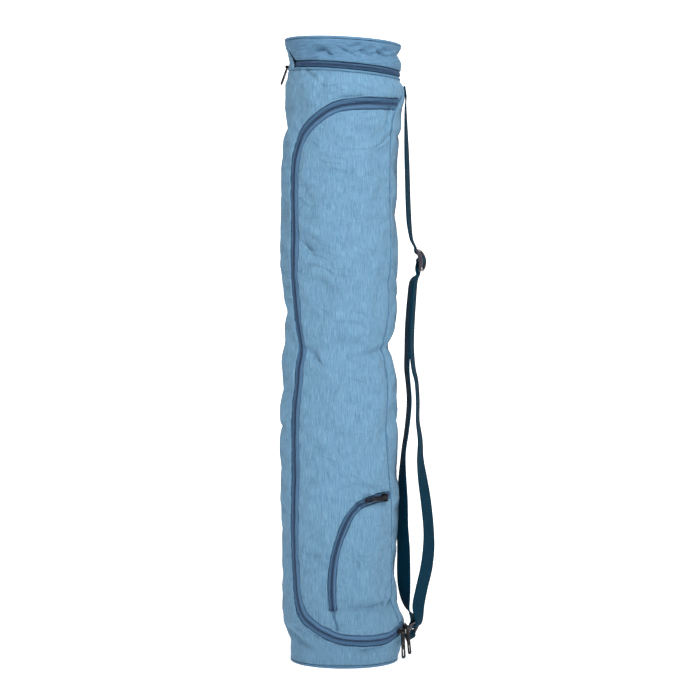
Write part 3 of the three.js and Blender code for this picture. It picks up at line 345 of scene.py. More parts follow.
def inside(polygon, points):
    x, y = points[:, 0], points[:, 1]
    result = np.zeros(len(points), bool)
    for (ax, ay), (bx, by) in zip(polygon, np.roll(polygon, -1, axis=0)):
        if ay == by:
            continue
        crosses = (ay > y) != (by > y)
        result ^= crosses & (x < (bx - ax) * (y - ay) / (by - ay) + ax)
    return result


main_line = flat_line(MAIN_ZIP)
pocket_line = flat_line(POCKET_ZIP)
pocket_seam_line = flat_line(POCKET_SEAM)
seam_top = collar_at(SIDE_SEAM["angle"][-1]) - 2 * PIECE_GAP - SIDE_SEAM_HALF
seam_foot = MAIN_ZIP[-3][1] * COLLAR_HEIGHT + MAIN_ZIP_HALF + 2 * PIECE_GAP + SIDE_SEAM_HALF
seam_heights = np.linspace(seam_top, seam_foot, 400)
seam_line = resample(np.stack([seam_x(seam_heights), seam_heights], axis=1), EDGE_STEP)


def wavering(line, half, waver, seed):
    """Half widths along a band: the cloth's edge wavers over the tape."""
    lengths = run_length(line)
    spots = np.stack([lengths, 0 * lengths, 0 * lengths], axis=1)
    return half + waver * (soft_noise(spots, 13, seed) + 0.6 * soft_noise(spots, 5, seed + 1))


# The cloth covers more of the tape where the bag is pinched at its waist
WAIST_HEIGHT = 350
WAIST_REACH = 24
WAIST_COVER = 1.9
main_halves = wavering(main_line, MAIN_ZIP_HALF - 0.7, 0.45, 31)
at_waist = np.exp(-((main_line[:, 1] - WAIST_HEIGHT) / WAIST_REACH) ** 2) * (main_line[:, 0] < 0)
main_halves -= WAIST_COVER * at_waist

# Bands that are cut out of the cloth: middle line and half widths along it
CUT_BANDS = [
    (main_line, main_halves),
    (seam_line, wavering(seam_line, SIDE_SEAM_HALF, 0.1, 35)),
    (pocket_line, wavering(pocket_line, POCKET_ZIP_HALF - 0.45, 0.4, 38)),
    (pocket_seam_line, wavering(pocket_seam_line, POCKET_SEAM_HALF, 0.3, 41)),
]


def band_edge(band, points):
    """Distance from flat points to a band's edge, and how far along it they lie."""
    line, halves = band
    distance, where = line_distance(line, points)
    return distance - np.interp(where, run_length(line), halves), where


def cloth_edge_distance(flat):
    """Distance from flat points to the nearest cut edge, negative inside a band."""
    return np.min([band_edge(band, flat)[0] for band in CUT_BANDS], axis=0)


# The drape: cloth that is a little too long for its place buckles between the seams

# Its grid and frames; then the spare cloth, and how firmly the loose cloth keeps its place
DRAPE_AROUND = 108
DRAPE_UP = 168
DRAPE_FRAMES = 24
DRAPE_SPARE = 0.022
DRAPE_HOLD = 0.08
# Swells wider than this many grid steps are taken out; the rest is scaled, and held below a most
DRAPE_BROAD = 9
DRAPE_MOST = 2.5
DRAPE_SHARE = 1.3


def drape_grid():
    angles = np.linspace(-180, 180, DRAPE_AROUND + 1)
    heights = np.linspace(BODY_LOW, COLLAR_HEIGHT, DRAPE_UP + 1)
    return np.meshgrid(angles, heights)


def broad_part(grid):
    """The slow part of a grid that wraps round, by repeated running means."""
    window = np.ones(DRAPE_BROAD) / DRAPE_BROAD
    half = DRAPE_BROAD // 2

    def mean_of(row):
        return np.convolve(row, window, "valid")

    for _ in range(3):
        grid = np.apply_along_axis(mean_of, 1, np.pad(grid, ((0, 0), (half, half)), "wrap"))
        grid = np.apply_along_axis(mean_of, 0, np.pad(grid, ((half, half), (0, 0)), "edge"))
    return grid


def simulated_drape():
    """How far the tube's cloth settles outwards, as a grid over angle and height."""
    angles, heights = (values[:, :-1] for values in drape_grid())
    start = wall_at(angles, heights, 0).reshape(-1, 3)
    start += 0.25 * soft_noise(start, 12, 51)[:, None] * (1, 1, 0)
    faces = []
    for j in range(DRAPE_UP):
        for i in range(DRAPE_AROUND):
            k = (i + 1) % DRAPE_AROUND
            low, high = j * DRAPE_AROUND, (j + 1) * DRAPE_AROUND
            faces.append((low + i, low + k, high + k, high + i))
    mesh = bpy.data.meshes.new("drape")
    mesh.from_pydata((start * MM).tolist(), [], faces)
    helper = bpy.data.objects.new("drape", mesh)
    bpy.context.scene.collection.objects.link(helper)
    edge = cloth_edge_distance(np.stack([flat_x(angles).ravel(), heights.ravel()], axis=1))
    ends = np.minimum(heights.ravel() - BODY_LOW, COLLAR_HEIGHT - heights.ravel())
    hold = np.where((edge < 1.5) | (ends < 5), 1.0, DRAPE_HOLD)
    group = helper.vertex_groups.new(name="held")
    for k, weight in enumerate(hold):
        group.add([k], float(weight), "REPLACE")
    modifier = helper.modifiers.new("cloth", "CLOTH")
    cloth = modifier.settings
    cloth.quality = 5
    cloth.mass = 0.2
    cloth.tension_stiffness = 20
    cloth.compression_stiffness = 20
    cloth.shear_stiffness = 5
    cloth.bending_stiffness = 1
    cloth.vertex_group_mass = "held"
    cloth.pin_stiffness = 1
    cloth.shrink_min = -DRAPE_SPARE
    cloth.effector_weights.gravity = 0
    modifier.point_cache.frame_start = 1
    modifier.point_cache.frame_end = DRAPE_FRAMES
    scene = bpy.context.scene
    for step in range(1, DRAPE_FRAMES + 1):
        scene.frame_set(step)
    graph = bpy.context.evaluated_depsgraph_get()
    settled = helper.evaluated_get(graph).to_mesh()
    moved = np.empty(len(start) * 3)
    settled.vertices.foreach_get("co", moved)
    scene.frame_set(1)
    bpy.data.objects.remove(helper)
    outwards = start * (1, 1, 0)
    outwards /= np.linalg.norm(outwards, axis=1)[:, None]
    drape = np.sum((moved.reshape(-1, 3) / MM - start) * outwards, axis=1)
    drape = (drape * (hold < 1)).reshape(angles.shape)
    drape = DRAPE_SHARE * (drape - broad_part(drape))
    drape = DRAPE_MOST * np.tanh(drape / DRAPE_MOST)
    return np.hstack([drape, drape[:, :1]])


DRAPE = simulated_drape()


def drape_at(flat):
    """The drape at flat points, between the grid's own values."""
    i = np.clip((flat[:, 0] / WRAP_X + 1) / 2 * DRAPE_AROUND, 0, DRAPE_AROUND - 1e-6)
    j = np.clip((flat[:, 1] - BODY_LOW) / (COLLAR_HEIGHT - BODY_LOW) * DRAPE_UP, 0, DRAPE_UP - 1e-6)
    left, low = i.astype(int), j.astype(int)
    s, t = i - left, j - low
    below = DRAPE[low, left] * (1 - s) + DRAPE[low, left + 1] * s
    above = DRAPE[low + 1, left] * (1 - s) + DRAPE[low + 1, left + 1] * s
    return below * (1 - t) + above * t


# Places that stay as the solids have them: sliders, and the seats of the strap and the tab
STEADY_SPOTS = [(70, 0.056, 16), (43, 0.2884, 12), (94, 0.97, 22), (94, 0.05, 16)]

CREASE_DEPTH = 3.3

# Sharp small creases: angle, share of the bag's height, half length, half width, turn, depth
CREASES = table(FOLD_COLUMNS, [
    (30, 0.4995, 0.42, 0.045, 9, -0.02),
    (30, 0.512, 0.5, 0.06, 9, 0.016),
    (-33, 0.497, 0.2, 0.04, -38, -0.014),
    (-27, 0.489, 0.14, 0.035, -52, -0.014),
    (-38, 0.667, 0.14, 0.035, -48, -0.02),
    (-32, 0.684, 0.12, 0.04, -35, -0.014),
    (30, 0.639, 0.3, 0.05, -38, -0.014),
    (36, 0.627, 0.3, 0.05, -35, 0.012),
    (12, 0.431, 0.4, 0.05, 50, 0.012),
    (18, 0.4, 0.5, 0.05, 50, -0.013),
    (-31, 0.181, 0.26, 0.03, -8, -0.011),
    (-22, 0.178, 0.14, 0.03, 12, 0.012),
    (-27, 0.162, 0.2, 0.03, 5, -0.009),
    (16, 0.0965, 0.55, 0.03, -1, -0.014),
    (34, 0.1, 0.4, 0.03, 4, -0.012),
    (52, 0.11, 0.22, 0.04, 55, -0.02),
    (57, 0.095, 0.2, 0.035, 35, -0.018),
    (50, 0.082, 0.2, 0.035, 60, 0.014),
    (12, 0.165, 0.22, 0.04, -62, -0.012),
    (20, 0.283, 0.3, 0.03, -20, 0.014),
    (26, 0.29, 0.3, 0.03, -12, -0.016),
    (12, 0.264, 0.2, 0.03, -40, -0.014),
    (-24, 0.922, 0.3, 0.035, 62, -0.013),
    (-32, 0.935, 0.3, 0.04, -40, -0.014),
    (4, 0.905, 0.3, 0.025, 6, -0.015),
    (24, 0.9, 0.35, 0.025, -3, 0.012),
    (32, 0.8985, 0.3, 0.02, 4, -0.014),
    (53, 0.885, 0.2, 0.035, 70, -0.02),
    (50, 0.87, 0.2, 0.035, 60, -0.014),
    (-30, 0.053, 0.2, 0.03, -28, -0.016),
    (10, 0.029, 0.3, 0.025, -3, -0.012),
    (12, 0.7, 1.1, 0.16, 84, 0.011),
    (30, 0.62, 0.6, 0.14, 60, 0.01),
    (14, 0.4, 0.9, 0.15, 62, 0.01),
    (23, 0.15, 0.8, 0.14, 86, 0.009),
    (-20, 0.6, 0.8, 0.14, -70, -0.008),
    (-42, 0.055, 0.32, 0.045, -25, -0.014),
    (26, 0.028, 0.35, 0.03, 5, -0.012),
])


def ripple(flat, edge):
    """The cloth's unevenness, which is stronger where it is sewn to a zip."""
    angle = angle_of(flat[:, 0])
    points = wall_at(angle, flat[:, 1], 0)
    near = np.exp(-np.maximum(edge, 0) / 7)
    steady = np.ones(len(flat))
    for spot_angle, share, reach in STEADY_SPOTS:
        aside = flat[:, 0] - flat_x(spot_angle)
        away = np.hypot(aside, flat[:, 1] - share * COLLAR_HEIGHT)
        steady *= 1 - np.exp(-(away / reach) ** 2)
    broad = 0.7 * soft_noise(points * (1, 1, 0.6), 42, 3)
    middle = 0.4 * soft_noise(points * (1, 1, 1.4), 19, 5)
    sewn = near * (0.45 + 0.5 * soft_noise(points * (1, 1, 0.8), 9.5, 7))
    creases = CREASE_DEPTH * fold_push(CREASES, angle, flat[:, 1])
    return steady * (broad + middle + sewn + creases + drape_at(flat))


def place(flat, out):
    """Flat points on the bag's wall, with its unevenness."""
    flat = np.asarray(flat, float)
    edge = cloth_edge_distance(flat)
    return wall_at(angle_of(flat[:, 0]), flat[:, 1], out + ripple(flat, edge))


# Meshes

def new_mesh(name, points, faces, corner_uv=None, smooth=True):
    mesh = bpy.data.meshes.new(name)
    mesh.from_pydata((np.asarray(points) * MM).tolist(), [], [tuple(int(i) for i in f) for f in faces])
    if corner_uv is not None:
        layer = mesh.uv_layers.new(name="flat")
        layer.data.foreach_set("uv", (np.asarray(corner_uv) * MM).astype(np.float32).ravel())
    mesh.polygons.foreach_set("use_smooth", np.full(len(mesh.polygons), smooth))
    mesh.update()
    return mesh


def add_piece(name, mesh, material, nodes=(), body="bag"):
    mesh.materials.clear()
    mesh.materials.append(material)
    piece = bpy.data.objects.new(name, mesh)
    bpy.context.scene.collection.objects.link(piece)
    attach(piece, body)
    if nodes:
        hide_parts(*nodes)
    return piece


def border_edges(faces):
    edges = np.vstack([faces[:, [0, 1]], faces[:, [1, 2]], faces[:, [2, 0]]])
    _, inverse, counts = np.unique(np.sort(edges, axis=1), axis=0, return_inverse=True, return_counts=True)
    return edges[counts[inverse.ravel()] == 1]


def double_skin(outer, inner, faces, flat, corners):
    """A closed cloth from an outer and an inner skin over the same triangles."""
    count = len(outer)
    rim = [(b, a, a + count, b + count) for a, b in border_edges(faces)]
    all_faces = [*faces.tolist(), *(faces[:, ::-1] + count).tolist(), *rim]
    rim_uv = [flat[[b, a, a, b]] for b, a, _, _ in rim]
    uv = np.concatenate([corners.reshape(-1, 2), corners[:, ::-1].reshape(-1, 2), *rim_uv])
    return np.vstack([outer, inner]), all_faces, uv


def sweep_mesh(name, stations, lengths, closed):
    """A skin through section loops, closed with end caps or joined end to end."""
    stations = np.asarray(stations)
    count, size, _ = stations.shape
    around = np.concatenate([[0], np.cumsum(np.linalg.norm(
        np.diff(np.vstack([stations[0], stations[0][:1]]), axis=0), axis=1))])
    faces = []
    uv = []
    steps = count if closed else count - 1
    for k in range(steps):
        n = (k + 1) % count
        for i in range(size):
            j = (i + 1) % size
            faces.append((k * size + i, k * size + j, n * size + j, n * size + i))
            low, high = lengths[k], lengths[k + 1]
            uv.extend([(low, around[i]), (low, around[i + 1]), (high, around[i + 1]), (high, around[i])])
    if not closed:
        faces.append(tuple(reversed(range(size))))
        uv.extend([(lengths[0], around[i]) for i in reversed(range(size))])
        faces.append(tuple((count - 1) * size + i for i in range(size)))
        uv.extend([(lengths[-1], around[i]) for i in range(size)])
    mesh = new_mesh(name, stations.reshape(-1, 3), faces, np.array(uv))
    face_outwards(mesh)
    return mesh


def face_outwards(mesh):
    """Turns a closed mesh right side out."""
    points = np.empty(len(mesh.vertices) * 3)
    mesh.vertices.foreach_get("co", points)
    points = points.reshape(-1, 3)
    volume = 0
    for polygon in mesh.polygons:
        ring = [points[i] for i in polygon.vertices]
        for b, c in zip(ring[1:], ring[2:]):
            volume += np.dot(ring[0], np.cross(b, c))
    if volume < 0:
        mesh.flip_normals()


# Node trees

def link_nodes(tree, *pairs):
    for source, target in pairs:
        tree.links.new(source, target)


def path_tree():
    """Repeats a small piece along a path, standing on the surface that carries the path."""
    tree = bpy.data.node_groups.new("repeat_along_path", "GeometryNodeTree")
    face = tree.interface
    face.new_socket("Path", in_out="INPUT", socket_type="NodeSocketGeometry")
    face.new_socket("Pitch", in_out="INPUT", socket_type="NodeSocketFloat")
    face.new_socket("Piece", in_out="INPUT", socket_type="NodeSocketObject")
    face.new_socket("Sway", in_out="INPUT", socket_type="NodeSocketFloat")
    face.new_socket("Seed", in_out="INPUT", socket_type="NodeSocketInt")
    face.new_socket("Material", in_out="INPUT", socket_type="NodeSocketMaterial")
    face.new_socket("Geometry", in_out="OUTPUT", socket_type="NodeSocketGeometry")
    new = tree.nodes.new
    given = new("NodeGroupInput")
    result = new("NodeGroupOutput")
    curve = new("GeometryNodeMeshToCurve")
    spaced = new("GeometryNodeResampleCurve")
    spaced.mode = "LENGTH"
    copies = new("GeometryNodeInstanceOnPoints")
    piece = new("GeometryNodeObjectInfo")
    outward = new("GeometryNodeInputNamedAttribute")
    outward.data_type = "FLOAT_VECTOR"
    outward.inputs["Name"].default_value = "outward"
    tangent = new("GeometryNodeInputTangent")
    stand = new("FunctionNodeAlignRotationToVector")
    stand.axis = "Z"
    lie = new("FunctionNodeAlignRotationToVector")
    lie.axis = "X"
    lie.pivot_axis = "Z"
    sway = new("FunctionNodeRandomValue")
    sway.data_type = "FLOAT"
    minus = new("ShaderNodeMath")
    minus.operation = "MULTIPLY"
    minus.inputs[1].default_value = -1
    swing = new("FunctionNodeAxisAngleToRotation")
    swing.inputs["Axis"].default_value = (0, 0, 1)
    turned = new("FunctionNodeRotateRotation")
    turned.rotation_space = "LOCAL"
    real = new("GeometryNodeRealizeInstances")
    finish = new("GeometryNodeSetMaterial")
    float_min = [s for s in sway.inputs if s.name == "Min" and s.enabled][0]
    float_max = [s for s in sway.inputs if s.name == "Max" and s.enabled][0]
    float_out = [s for s in sway.outputs if s.enabled][0]
    vector_out = [s for s in outward.outputs if s.name == "Attribute" and s.enabled][0]
    link_nodes(
        tree,
        (given.outputs["Path"], curve.inputs[0]),
        (curve.outputs[0], spaced.inputs["Curve"]),
        (given.outputs["Pitch"], spaced.inputs["Length"]),
        (spaced.outputs[0], copies.inputs["Points"]),
        (given.outputs["Piece"], piece.inputs["Object"]),
        (piece.outputs["Geometry"], copies.inputs["Instance"]),
        (vector_out, stand.inputs["Vector"]),
        (stand.outputs[0], lie.inputs["Rotation"]),
        (tangent.outputs[0], lie.inputs["Vector"]),
        (given.outputs["Sway"], minus.inputs[0]),
        (minus.outputs[0], float_min),
        (given.outputs["Sway"], float_max),
        (given.outputs["Seed"], sway.inputs["Seed"]),
        (float_out, swing.inputs["Angle"]),
        (lie.outputs[0], turned.inputs[0]),
        (swing.outputs[0], turned.inputs[1]),
        (turned.outputs[0], copies.inputs["Rotation"]),
        (copies.outputs[0], real.inputs[0]),
        (real.outputs[0], finish.inputs["Geometry"]),
        (given.outputs["Material"], finish.inputs["Material"]),
        (finish.outputs[0], result.inputs[0]),
    )
    return tree


PATH_TREE = path_tree()


def repeat_along(name, paths, small, pitch, material, sway=0.0, seed=1, nodes=(), body="bag"):
    """One piece of many copies of a small mesh along paths of (points, outward) pairs."""
    points = []
    edges = []
    outwards = []
    for line, outward in paths:
        start = len(points)
        points.extend((line * MM).tolist())
        outwards.append(outward)
        edges.extend((start + k, start + k + 1) for k in range(len(line) - 1))
    path_mesh = bpy.data.meshes.new(name + "_path")
    path_mesh.from_pydata(points, edges, [])
    layer = path_mesh.attributes.new("outward", "FLOAT_VECTOR", "POINT")
    layer.data.foreach_set("vector", np.vstack(outwards).astype(np.float32).ravel())
    path = bpy.data.objects.new(name + "_path", path_mesh)
    small_piece = bpy.data.objects.new(name + "_small", small)
    for helper in (path, small_piece):
        bpy.context.scene.collection.objects.link(helper)
    modifier = path.modifiers.new("copies", "NODES")
    modifier.node_group = PATH_TREE
    wanted = {"Pitch": pitch * MM, "Piece": small_piece, "Sway": sway, "Seed": seed, "Material": material}
    for item in PATH_TREE.interface.items_tree:
        if item.in_out == "INPUT" and item.name in wanted:
            modifier[item.identifier] = wanted[item.name]
    graph = bpy.context.evaluated_depsgraph_get()
    mesh = bpy.data.meshes.new_from_object(path.evaluated_get(graph))
    mesh.name = name
    for helper in (path, small_piece):
        bpy.data.objects.remove(helper)
    for polygon in mesh.polygons:
        polygon.use_smooth = True
    return add_piece(name, mesh, material, nodes, body)


def capsule_points(length, radius, across, sides, lift, start):
    """Loops of a small round bar along X or Y, slightly arched."""
    loops = []
    for share, width in ((-1, 0.35), (-0.8, 0.85), (-0.35, 1), (0.35, 1), (0.8, 0.85), (1, 0.35)):
        run = share * length / 2
        rise = lift * (1 - share * share)
        loop = []
        for i in range(sides):
            turn = 2 * math.pi * (i + 0.5) / sides
            side = radius * width * math.cos(turn)
            up = radius * width * math.sin(turn) + rise
            x, y = (start[0] + side, start[1] + run) if across else (start[0] + run, start[1] + side)
            loop.append((x, y, start[2] + up))
        loops.append(loop)
    return loops


def bars_mesh(name, bars):
    """One mesh of several small round bars."""
    points = []
    faces = []
    for loops in bars:
        start = len(points)
        size = len(loops[0])
        for loop in loops:
            points.extend(loop)
        for k in range(len(loops) - 1):
            for i in range(size):
                j = (i + 1) % size
                a = start + k * size
                faces.append((a + i, a + j, a + size + j, a + size + i))
        faces.append([start + i for i in reversed(range(size))])
        faces.append([start + (len(loops) - 1) * size + i for i in range(size)])
    mesh = new_mesh(name, np.array(points), faces)
    face_outwards(mesh)
    return mesh


# Materials

def new_material(name):
    material = bpy.data.materials.new(name)
    material.use_nodes = True
    tree = material.node_tree
    tree.nodes.clear()
    output = tree.nodes.new("ShaderNodeOutputMaterial")
    shader = tree.nodes.new("ShaderNodeBsdfPrincipled")
    tree.links.new(shader.outputs[0], output.inputs["Surface"])
    return material, tree, shader


def mapped(tree, source, scale, turn=0.0):
    coordinates = tree.nodes.new("ShaderNodeTexCoord")
    mapping = tree.nodes.new("ShaderNodeMapping")
    mapping.inputs["Scale"].default_value = scale
    mapping.inputs["Rotation"].default_value = (0, 0, turn)
    tree.links.new(coordinates.outputs[source], mapping.inputs["Vector"])
    return mapping.outputs[0]


def noise(tree, vector, detail=2.0, roughness=0.5, distortion=0.0):
    texture = tree.nodes.new("ShaderNodeTexNoise")
    texture.inputs["Scale"].default_value = 1
    texture.inputs["Detail"].default_value = detail
    texture.inputs["Roughness"].default_value = roughness
    texture.inputs["Distortion"].default_value = distortion
    tree.links.new(vector, texture.inputs["Vector"])
    return texture.outputs["Fac"]


def stretch(tree, value, low, high, to_low=0.0, to_high=1.0):
    node = tree.nodes.new("ShaderNodeMapRange")
    node.inputs["From Min"].default_value = low
    node.inputs["From Max"].default_value = high
    node.inputs["To Min"].default_value = to_low
    node.inputs["To Max"].default_value = to_high
    tree.links.new(value, node.inputs["Value"])
    return node.outputs[0]


def calculate(tree, operation, first, second):
    node = tree.nodes.new("ShaderNodeMath")
    node.operation = operation
    for socket, value in zip(node.inputs, (first, second)):
        if isinstance(value, (int, float)):
            socket.default_value = value
        else:
            tree.links.new(value, socket)
    return node.outputs[0]


def weighted(tree, *parts):
    """Adds up values, each times its weight."""
    total = 0.0
    for value, weight in parts:
        total = calculate(tree, "ADD", calculate(tree, "MULTIPLY", value, weight), total)
    return total


def wave(tree, direction, scale):
    """Even bands across the flat cloth."""
    texture = tree.nodes.new("ShaderNodeTexWave")
    texture.bands_direction = direction
    tree.links.new(mapped(tree, "UV", scale), texture.inputs["Vector"])
    return texture.outputs["Fac"]


def mix_colours(tree, share, first, second):
    node = tree.nodes.new("ShaderNodeMix")
    node.data_type = "RGBA"
    sockets = (node.inputs["Factor"], node.inputs[6], node.inputs[7])
    for socket, value in zip(sockets, (share, first, second)):
        if isinstance(value, (int, float)):
            socket.default_value = value
        elif isinstance(value, tuple):
            socket.default_value = (*value, 1)
        else:
            tree.links.new(value, socket)
    return node.outputs[2]


def bump(tree, height, strength, distance, normal=None):
    node = tree.nodes.new("ShaderNodeBump")
    node.inputs["Strength"].default_value = strength
    node.inputs["Distance"].default_value = distance
    tree.links.new(height, node.inputs["Height"])
    if normal is not None:
        tree.links.new(normal, node.inputs["Normal"])
    return node.outputs[0]


def srgb(red, green, blue):
    def linear(value):
        value /= 255
        return value / 12.92 if value <= 0.04045 else ((value + 0.055) / 1.055) ** 2.4
    return (linear(red), linear(green), linear(blue))


# The cloth's yarns and patches in metres, across its streaks and along them
YARN_SIZE = (0.00055, 0.009)
SLUB_SIZE = (0.0013, 0.022)
PATCH_SIZE = (0.009, 0.03)
SPECK_SIZE = (0.0006, 0.0011)
WEAVE_PITCH = 0.0033
# How close together its crumples and puckers lie, for each metre
CRUMPLE_SCALE = (58, 58, 40)
PUCKER_SCALE = (24, 24, 34)
# The foot of the bag is painted darker as shade, up to this height in metres
FOOT_SHADE_HEIGHT = 0.2
PAINTED_FOOT_SHADE = 0.16
# Ribs and twill of the tapes, and picks and ends of the webbing, in metres
TAPE_RIB = 0.0048
TAPE_TWILL = (0.0026, 0.0034)
WEBBING_PICK = 0.0042
WEBBING_END = 0.0054


def streaked_cloth(name, dark, light, lilac, upright=True):
    """Woven cloth of mixed yarns, with fine streaks along its warp, and painted shade darkening it towards
    the foot.
    """
    material, tree, shader = new_material(name)

    def along(across_size, run_size):
        scale = (1 / across_size, 1 / run_size, 1)
        return mapped(tree, "UV", scale if upright else (scale[1], scale[0], 1))

    yarn = noise(tree, along(*YARN_SIZE), 3.0, 0.6)
    slub = noise(tree, along(*SLUB_SIZE), 2.0, 0.5)
    drift = noise(tree, along(*PATCH_SIZE), 3.0, 0.6)
    speck = noise(tree, along(*SPECK_SIZE), 1.0, 0.5)
    share = weighted(tree, (yarn, 0.55), (slub, 0.28), (speck, 0.17))
    colour = mix_colours(tree, stretch(tree, share, 0.35, 0.65), dark, light)
    colour = mix_colours(tree, stretch(tree, drift, 0.45, 0.8, 0, 0.45), colour, lilac)
    height = tree.nodes.new("ShaderNodeSeparateXYZ")
    tree.links.new(mapped(tree, "Object", (1, 1, 1)), height.inputs[0])
    # Painted shade: the colour is mixed towards black near the foot, fading out up the bag
    foot = stretch(tree, height.outputs["Z"], 0.0, FOOT_SHADE_HEIGHT, PAINTED_FOOT_SHADE, 0.0)
    colour = mix_colours(tree, foot, colour, (0, 0, 0))
    tree.links.new(colour, shader.inputs["Base Color"])
    pitch = (1 / WEAVE_PITCH, 1 / WEAVE_PITCH, 1)
    rough = weighted(tree, (wave(tree, "X", pitch), 1.0), (wave(tree, "Y", pitch), 1.0), (yarn, 2.0))
    crumple = noise(tree, mapped(tree, "Object", CRUMPLE_SCALE), 3.0, 0.5, 0.9)
    pucker = noise(tree, mapped(tree, "Object", PUCKER_SCALE), 2.0, 0.5, 1.4)
    ridge = calculate(tree, "ABSOLUTE", calculate(tree, "SUBTRACT", pucker, 0.5), 0.0)
    first = bump(tree, ridge, 0.5, 0.014, bump(tree, crumple, 0.5, 0.004))
    tree.links.new(bump(tree, rough, 0.3, 0.00012, first), shader.inputs["Normal"])
    shader.inputs["Roughness"].default_value = 0.9
    shader.inputs["Specular IOR Level"].default_value = 0.15
    shader.inputs["Sheen Weight"].default_value = 0.04
    shader.inputs["Sheen Roughness"].default_value = 0.5
    return material


def zip_tape_cloth(name, dark, light):
    """Tape with ribs along its run: U runs along, V across."""
    material, tree, shader = new_material(name)
    ribs = wave(tree, "Y", (1, 1 / TAPE_RIB, 1))
    twill = wave(tree, "DIAGONAL", (1 / TAPE_TWILL[0], 1 / TAPE_TWILL[1], 1))
    yarn = noise(tree, mapped(tree, "UV", (1 / 0.006, 1 / 0.0006, 1)), 2.0, 0.6)
    share = weighted(tree, (ribs, 0.45), (yarn, 0.55))
    colour = mix_colours(tree, stretch(tree, share, 0.25, 0.75), dark, light)
    tree.links.new(colour, shader.inputs["Base Color"])
    height = weighted(tree, (ribs, 1.0), (twill, 0.5))
    tree.links.new(bump(tree, height, 0.5, 0.0002), shader.inputs["Normal"])
    shader.inputs["Roughness"].default_value = 0.85
    shader.inputs["Specular IOR Level"].default_value = 0.2
    return material


def webbing_cloth(name, dark, light):
    """Webbing with fine ribs across it: U runs along, V across."""
    material, tree, shader = new_material(name)
    picks = wave(tree, "X", (1 / WEBBING_PICK, 1, 1))
    ends = wave(tree, "Y", (1, 1 / WEBBING_END, 1))
    yarn = noise(tree, mapped(tree, "UV", (1 / 0.004, 1 / 0.0008, 1)), 2.0, 0.6)
    weave = calculate(tree, "MULTIPLY", picks, ends)
    share = weighted(tree, (weave, 0.6), (yarn, 0.5))
    colour = mix_colours(tree, stretch(tree, share, 0.15, 0.85), dark, light)
    tree.links.new(colour, shader.inputs["Base Color"])
    tree.links.new(bump(tree, weave, 0.55, 0.00025), shader.inputs["Normal"])
    shader.inputs["Roughness"].default_value = 0.9
    shader.inputs["Specular IOR Level"].default_value = 0.08
    return material


def plain_finish(name, colour, worn, metallic, roughness, grain=900):
    """Moulded or painted black parts, with fine grain and paler rubbed patches."""
    material, tree, shader = new_material(name)
    patches = noise(tree, mapped(tree, "Object", (160, 160, 160)), 4.0, 0.6)
    fine = noise(tree, mapped(tree, "Object", (grain, grain, grain)), 2.0, 0.5)
    rubbed = mix_colours(tree, stretch(tree, patches, 0.5, 0.8, 0, 0.6), colour, worn)
    tree.links.new(rubbed, shader.inputs["Base Color"])
    sheen = stretch(tree, patches, 0.3, 0.7, roughness - 0.06, roughness + 0.1)
    tree.links.new(sheen, shader.inputs["Roughness"])
    tree.links.new(bump(tree, fine, 0.12, 0.0002), shader.inputs["Normal"])
    shader.inputs["Metallic"].default_value = metallic
    return material


body_cloth = streaked_cloth(
    "streaked_cloth_body", srgb(78, 120, 150), srgb(126, 167, 194), srgb(108, 140, 176))
# The lid's cloth is the body's cloth painted darker, as shade on the lid, with its streaks running across;
# the piping and the collar fold take it too
shaded_lid_cloth = streaked_cloth(
    "streaked_cloth_lid_shaded", srgb(64, 104, 136), srgb(112, 152, 182), srgb(98, 130, 168), False)
# A darker copy of the body's cloth for the seam folds: painted shade along the seams
shaded_seam_cloth = streaked_cloth(
    "streaked_cloth_seam_shaded", srgb(60, 98, 128), srgb(96, 136, 166), srgb(84, 116, 152))
# The outer tape is painted darker than the inner one, as shade on that side of the zip
shaded_outer_tape_cloth = zip_tape_cloth("slate_outer_tape_shaded", srgb(52, 84, 116), srgb(84, 120, 154))
inner_tape_cloth = zip_tape_cloth("slate_inner_tape", srgb(62, 98, 132), srgb(98, 134, 168))
coil_finish = plain_finish("slate_coil", srgb(42, 70, 104), srgb(64, 96, 132), 0.0, 0.5)
thread_finish = plain_finish("sewing_thread", srgb(96, 138, 170), srgb(120, 160, 190), 0.0, 0.7)
strap_thread_finish = plain_finish("strap_thread", srgb(14, 50, 66), srgb(24, 66, 84), 0.0, 0.7)
webbing = webbing_cloth("petrol_webbing", srgb(0, 32, 48), srgb(2, 68, 92))
black_plastic = plain_finish("satin_black_plastic", srgb(52, 46, 56), srgb(84, 76, 90), 0.0, 0.36)
black_metal = plain_finish("painted_black_metal", srgb(22, 22, 26), srgb(96, 96, 104), 0.75, 0.34)


# Cloth pieces of the tube: body, door panel and pocket panel


def net_points():
    """Flat points for the net: the cut edges and their rows, then an even filling."""
    fixed = []
    loose = []
    for line, halves in CUT_BANDS:
        side = sideways(line)
        for sign in (-1, 1):
            fixed.append(line + side * halves[:, None] * sign)
            for row in EDGE_ROWS[1:]:
                loose.append(line + side * (halves + row)[:, None] * sign)
    loose = np.vstack(loose)
    rows = []
    spacing_y = NET_SPACING * math.sqrt(3) / 2
    for j in range(int(BAG_HEIGHT / spacing_y) + 2):
        start = -WRAP_X + NET_SPACING / 2 * (j % 2)
        xs = np.arange(start, WRAP_X, NET_SPACING)
        rows.append(np.stack([xs, np.full(len(xs), j * spacing_y)], axis=1))
    filling = np.vstack(rows)
    top = collar_at(angle_of(filling[:, 0])) - PIECE_GAP
    keep = (filling[:, 1] > BODY_LOW + 1.5) & (filling[:, 1] < top - 1.5)
    keep &= np.abs(filling[:, 0]) < WRAP_X - 1.5
    filling = filling[keep]
    filling = filling[cloth_edge_distance(filling) > EDGE_ROWS[-1] + 1.4]
    edge = cloth_edge_distance(loose)
    top = collar_at(angle_of(loose[:, 0])) - PIECE_GAP
    loose = loose[(edge > 0.25) & (loose[:, 1] < top - 0.5) & (loose[:, 1] > BODY_LOW + 0.5)]
    return fixed, loose, filling


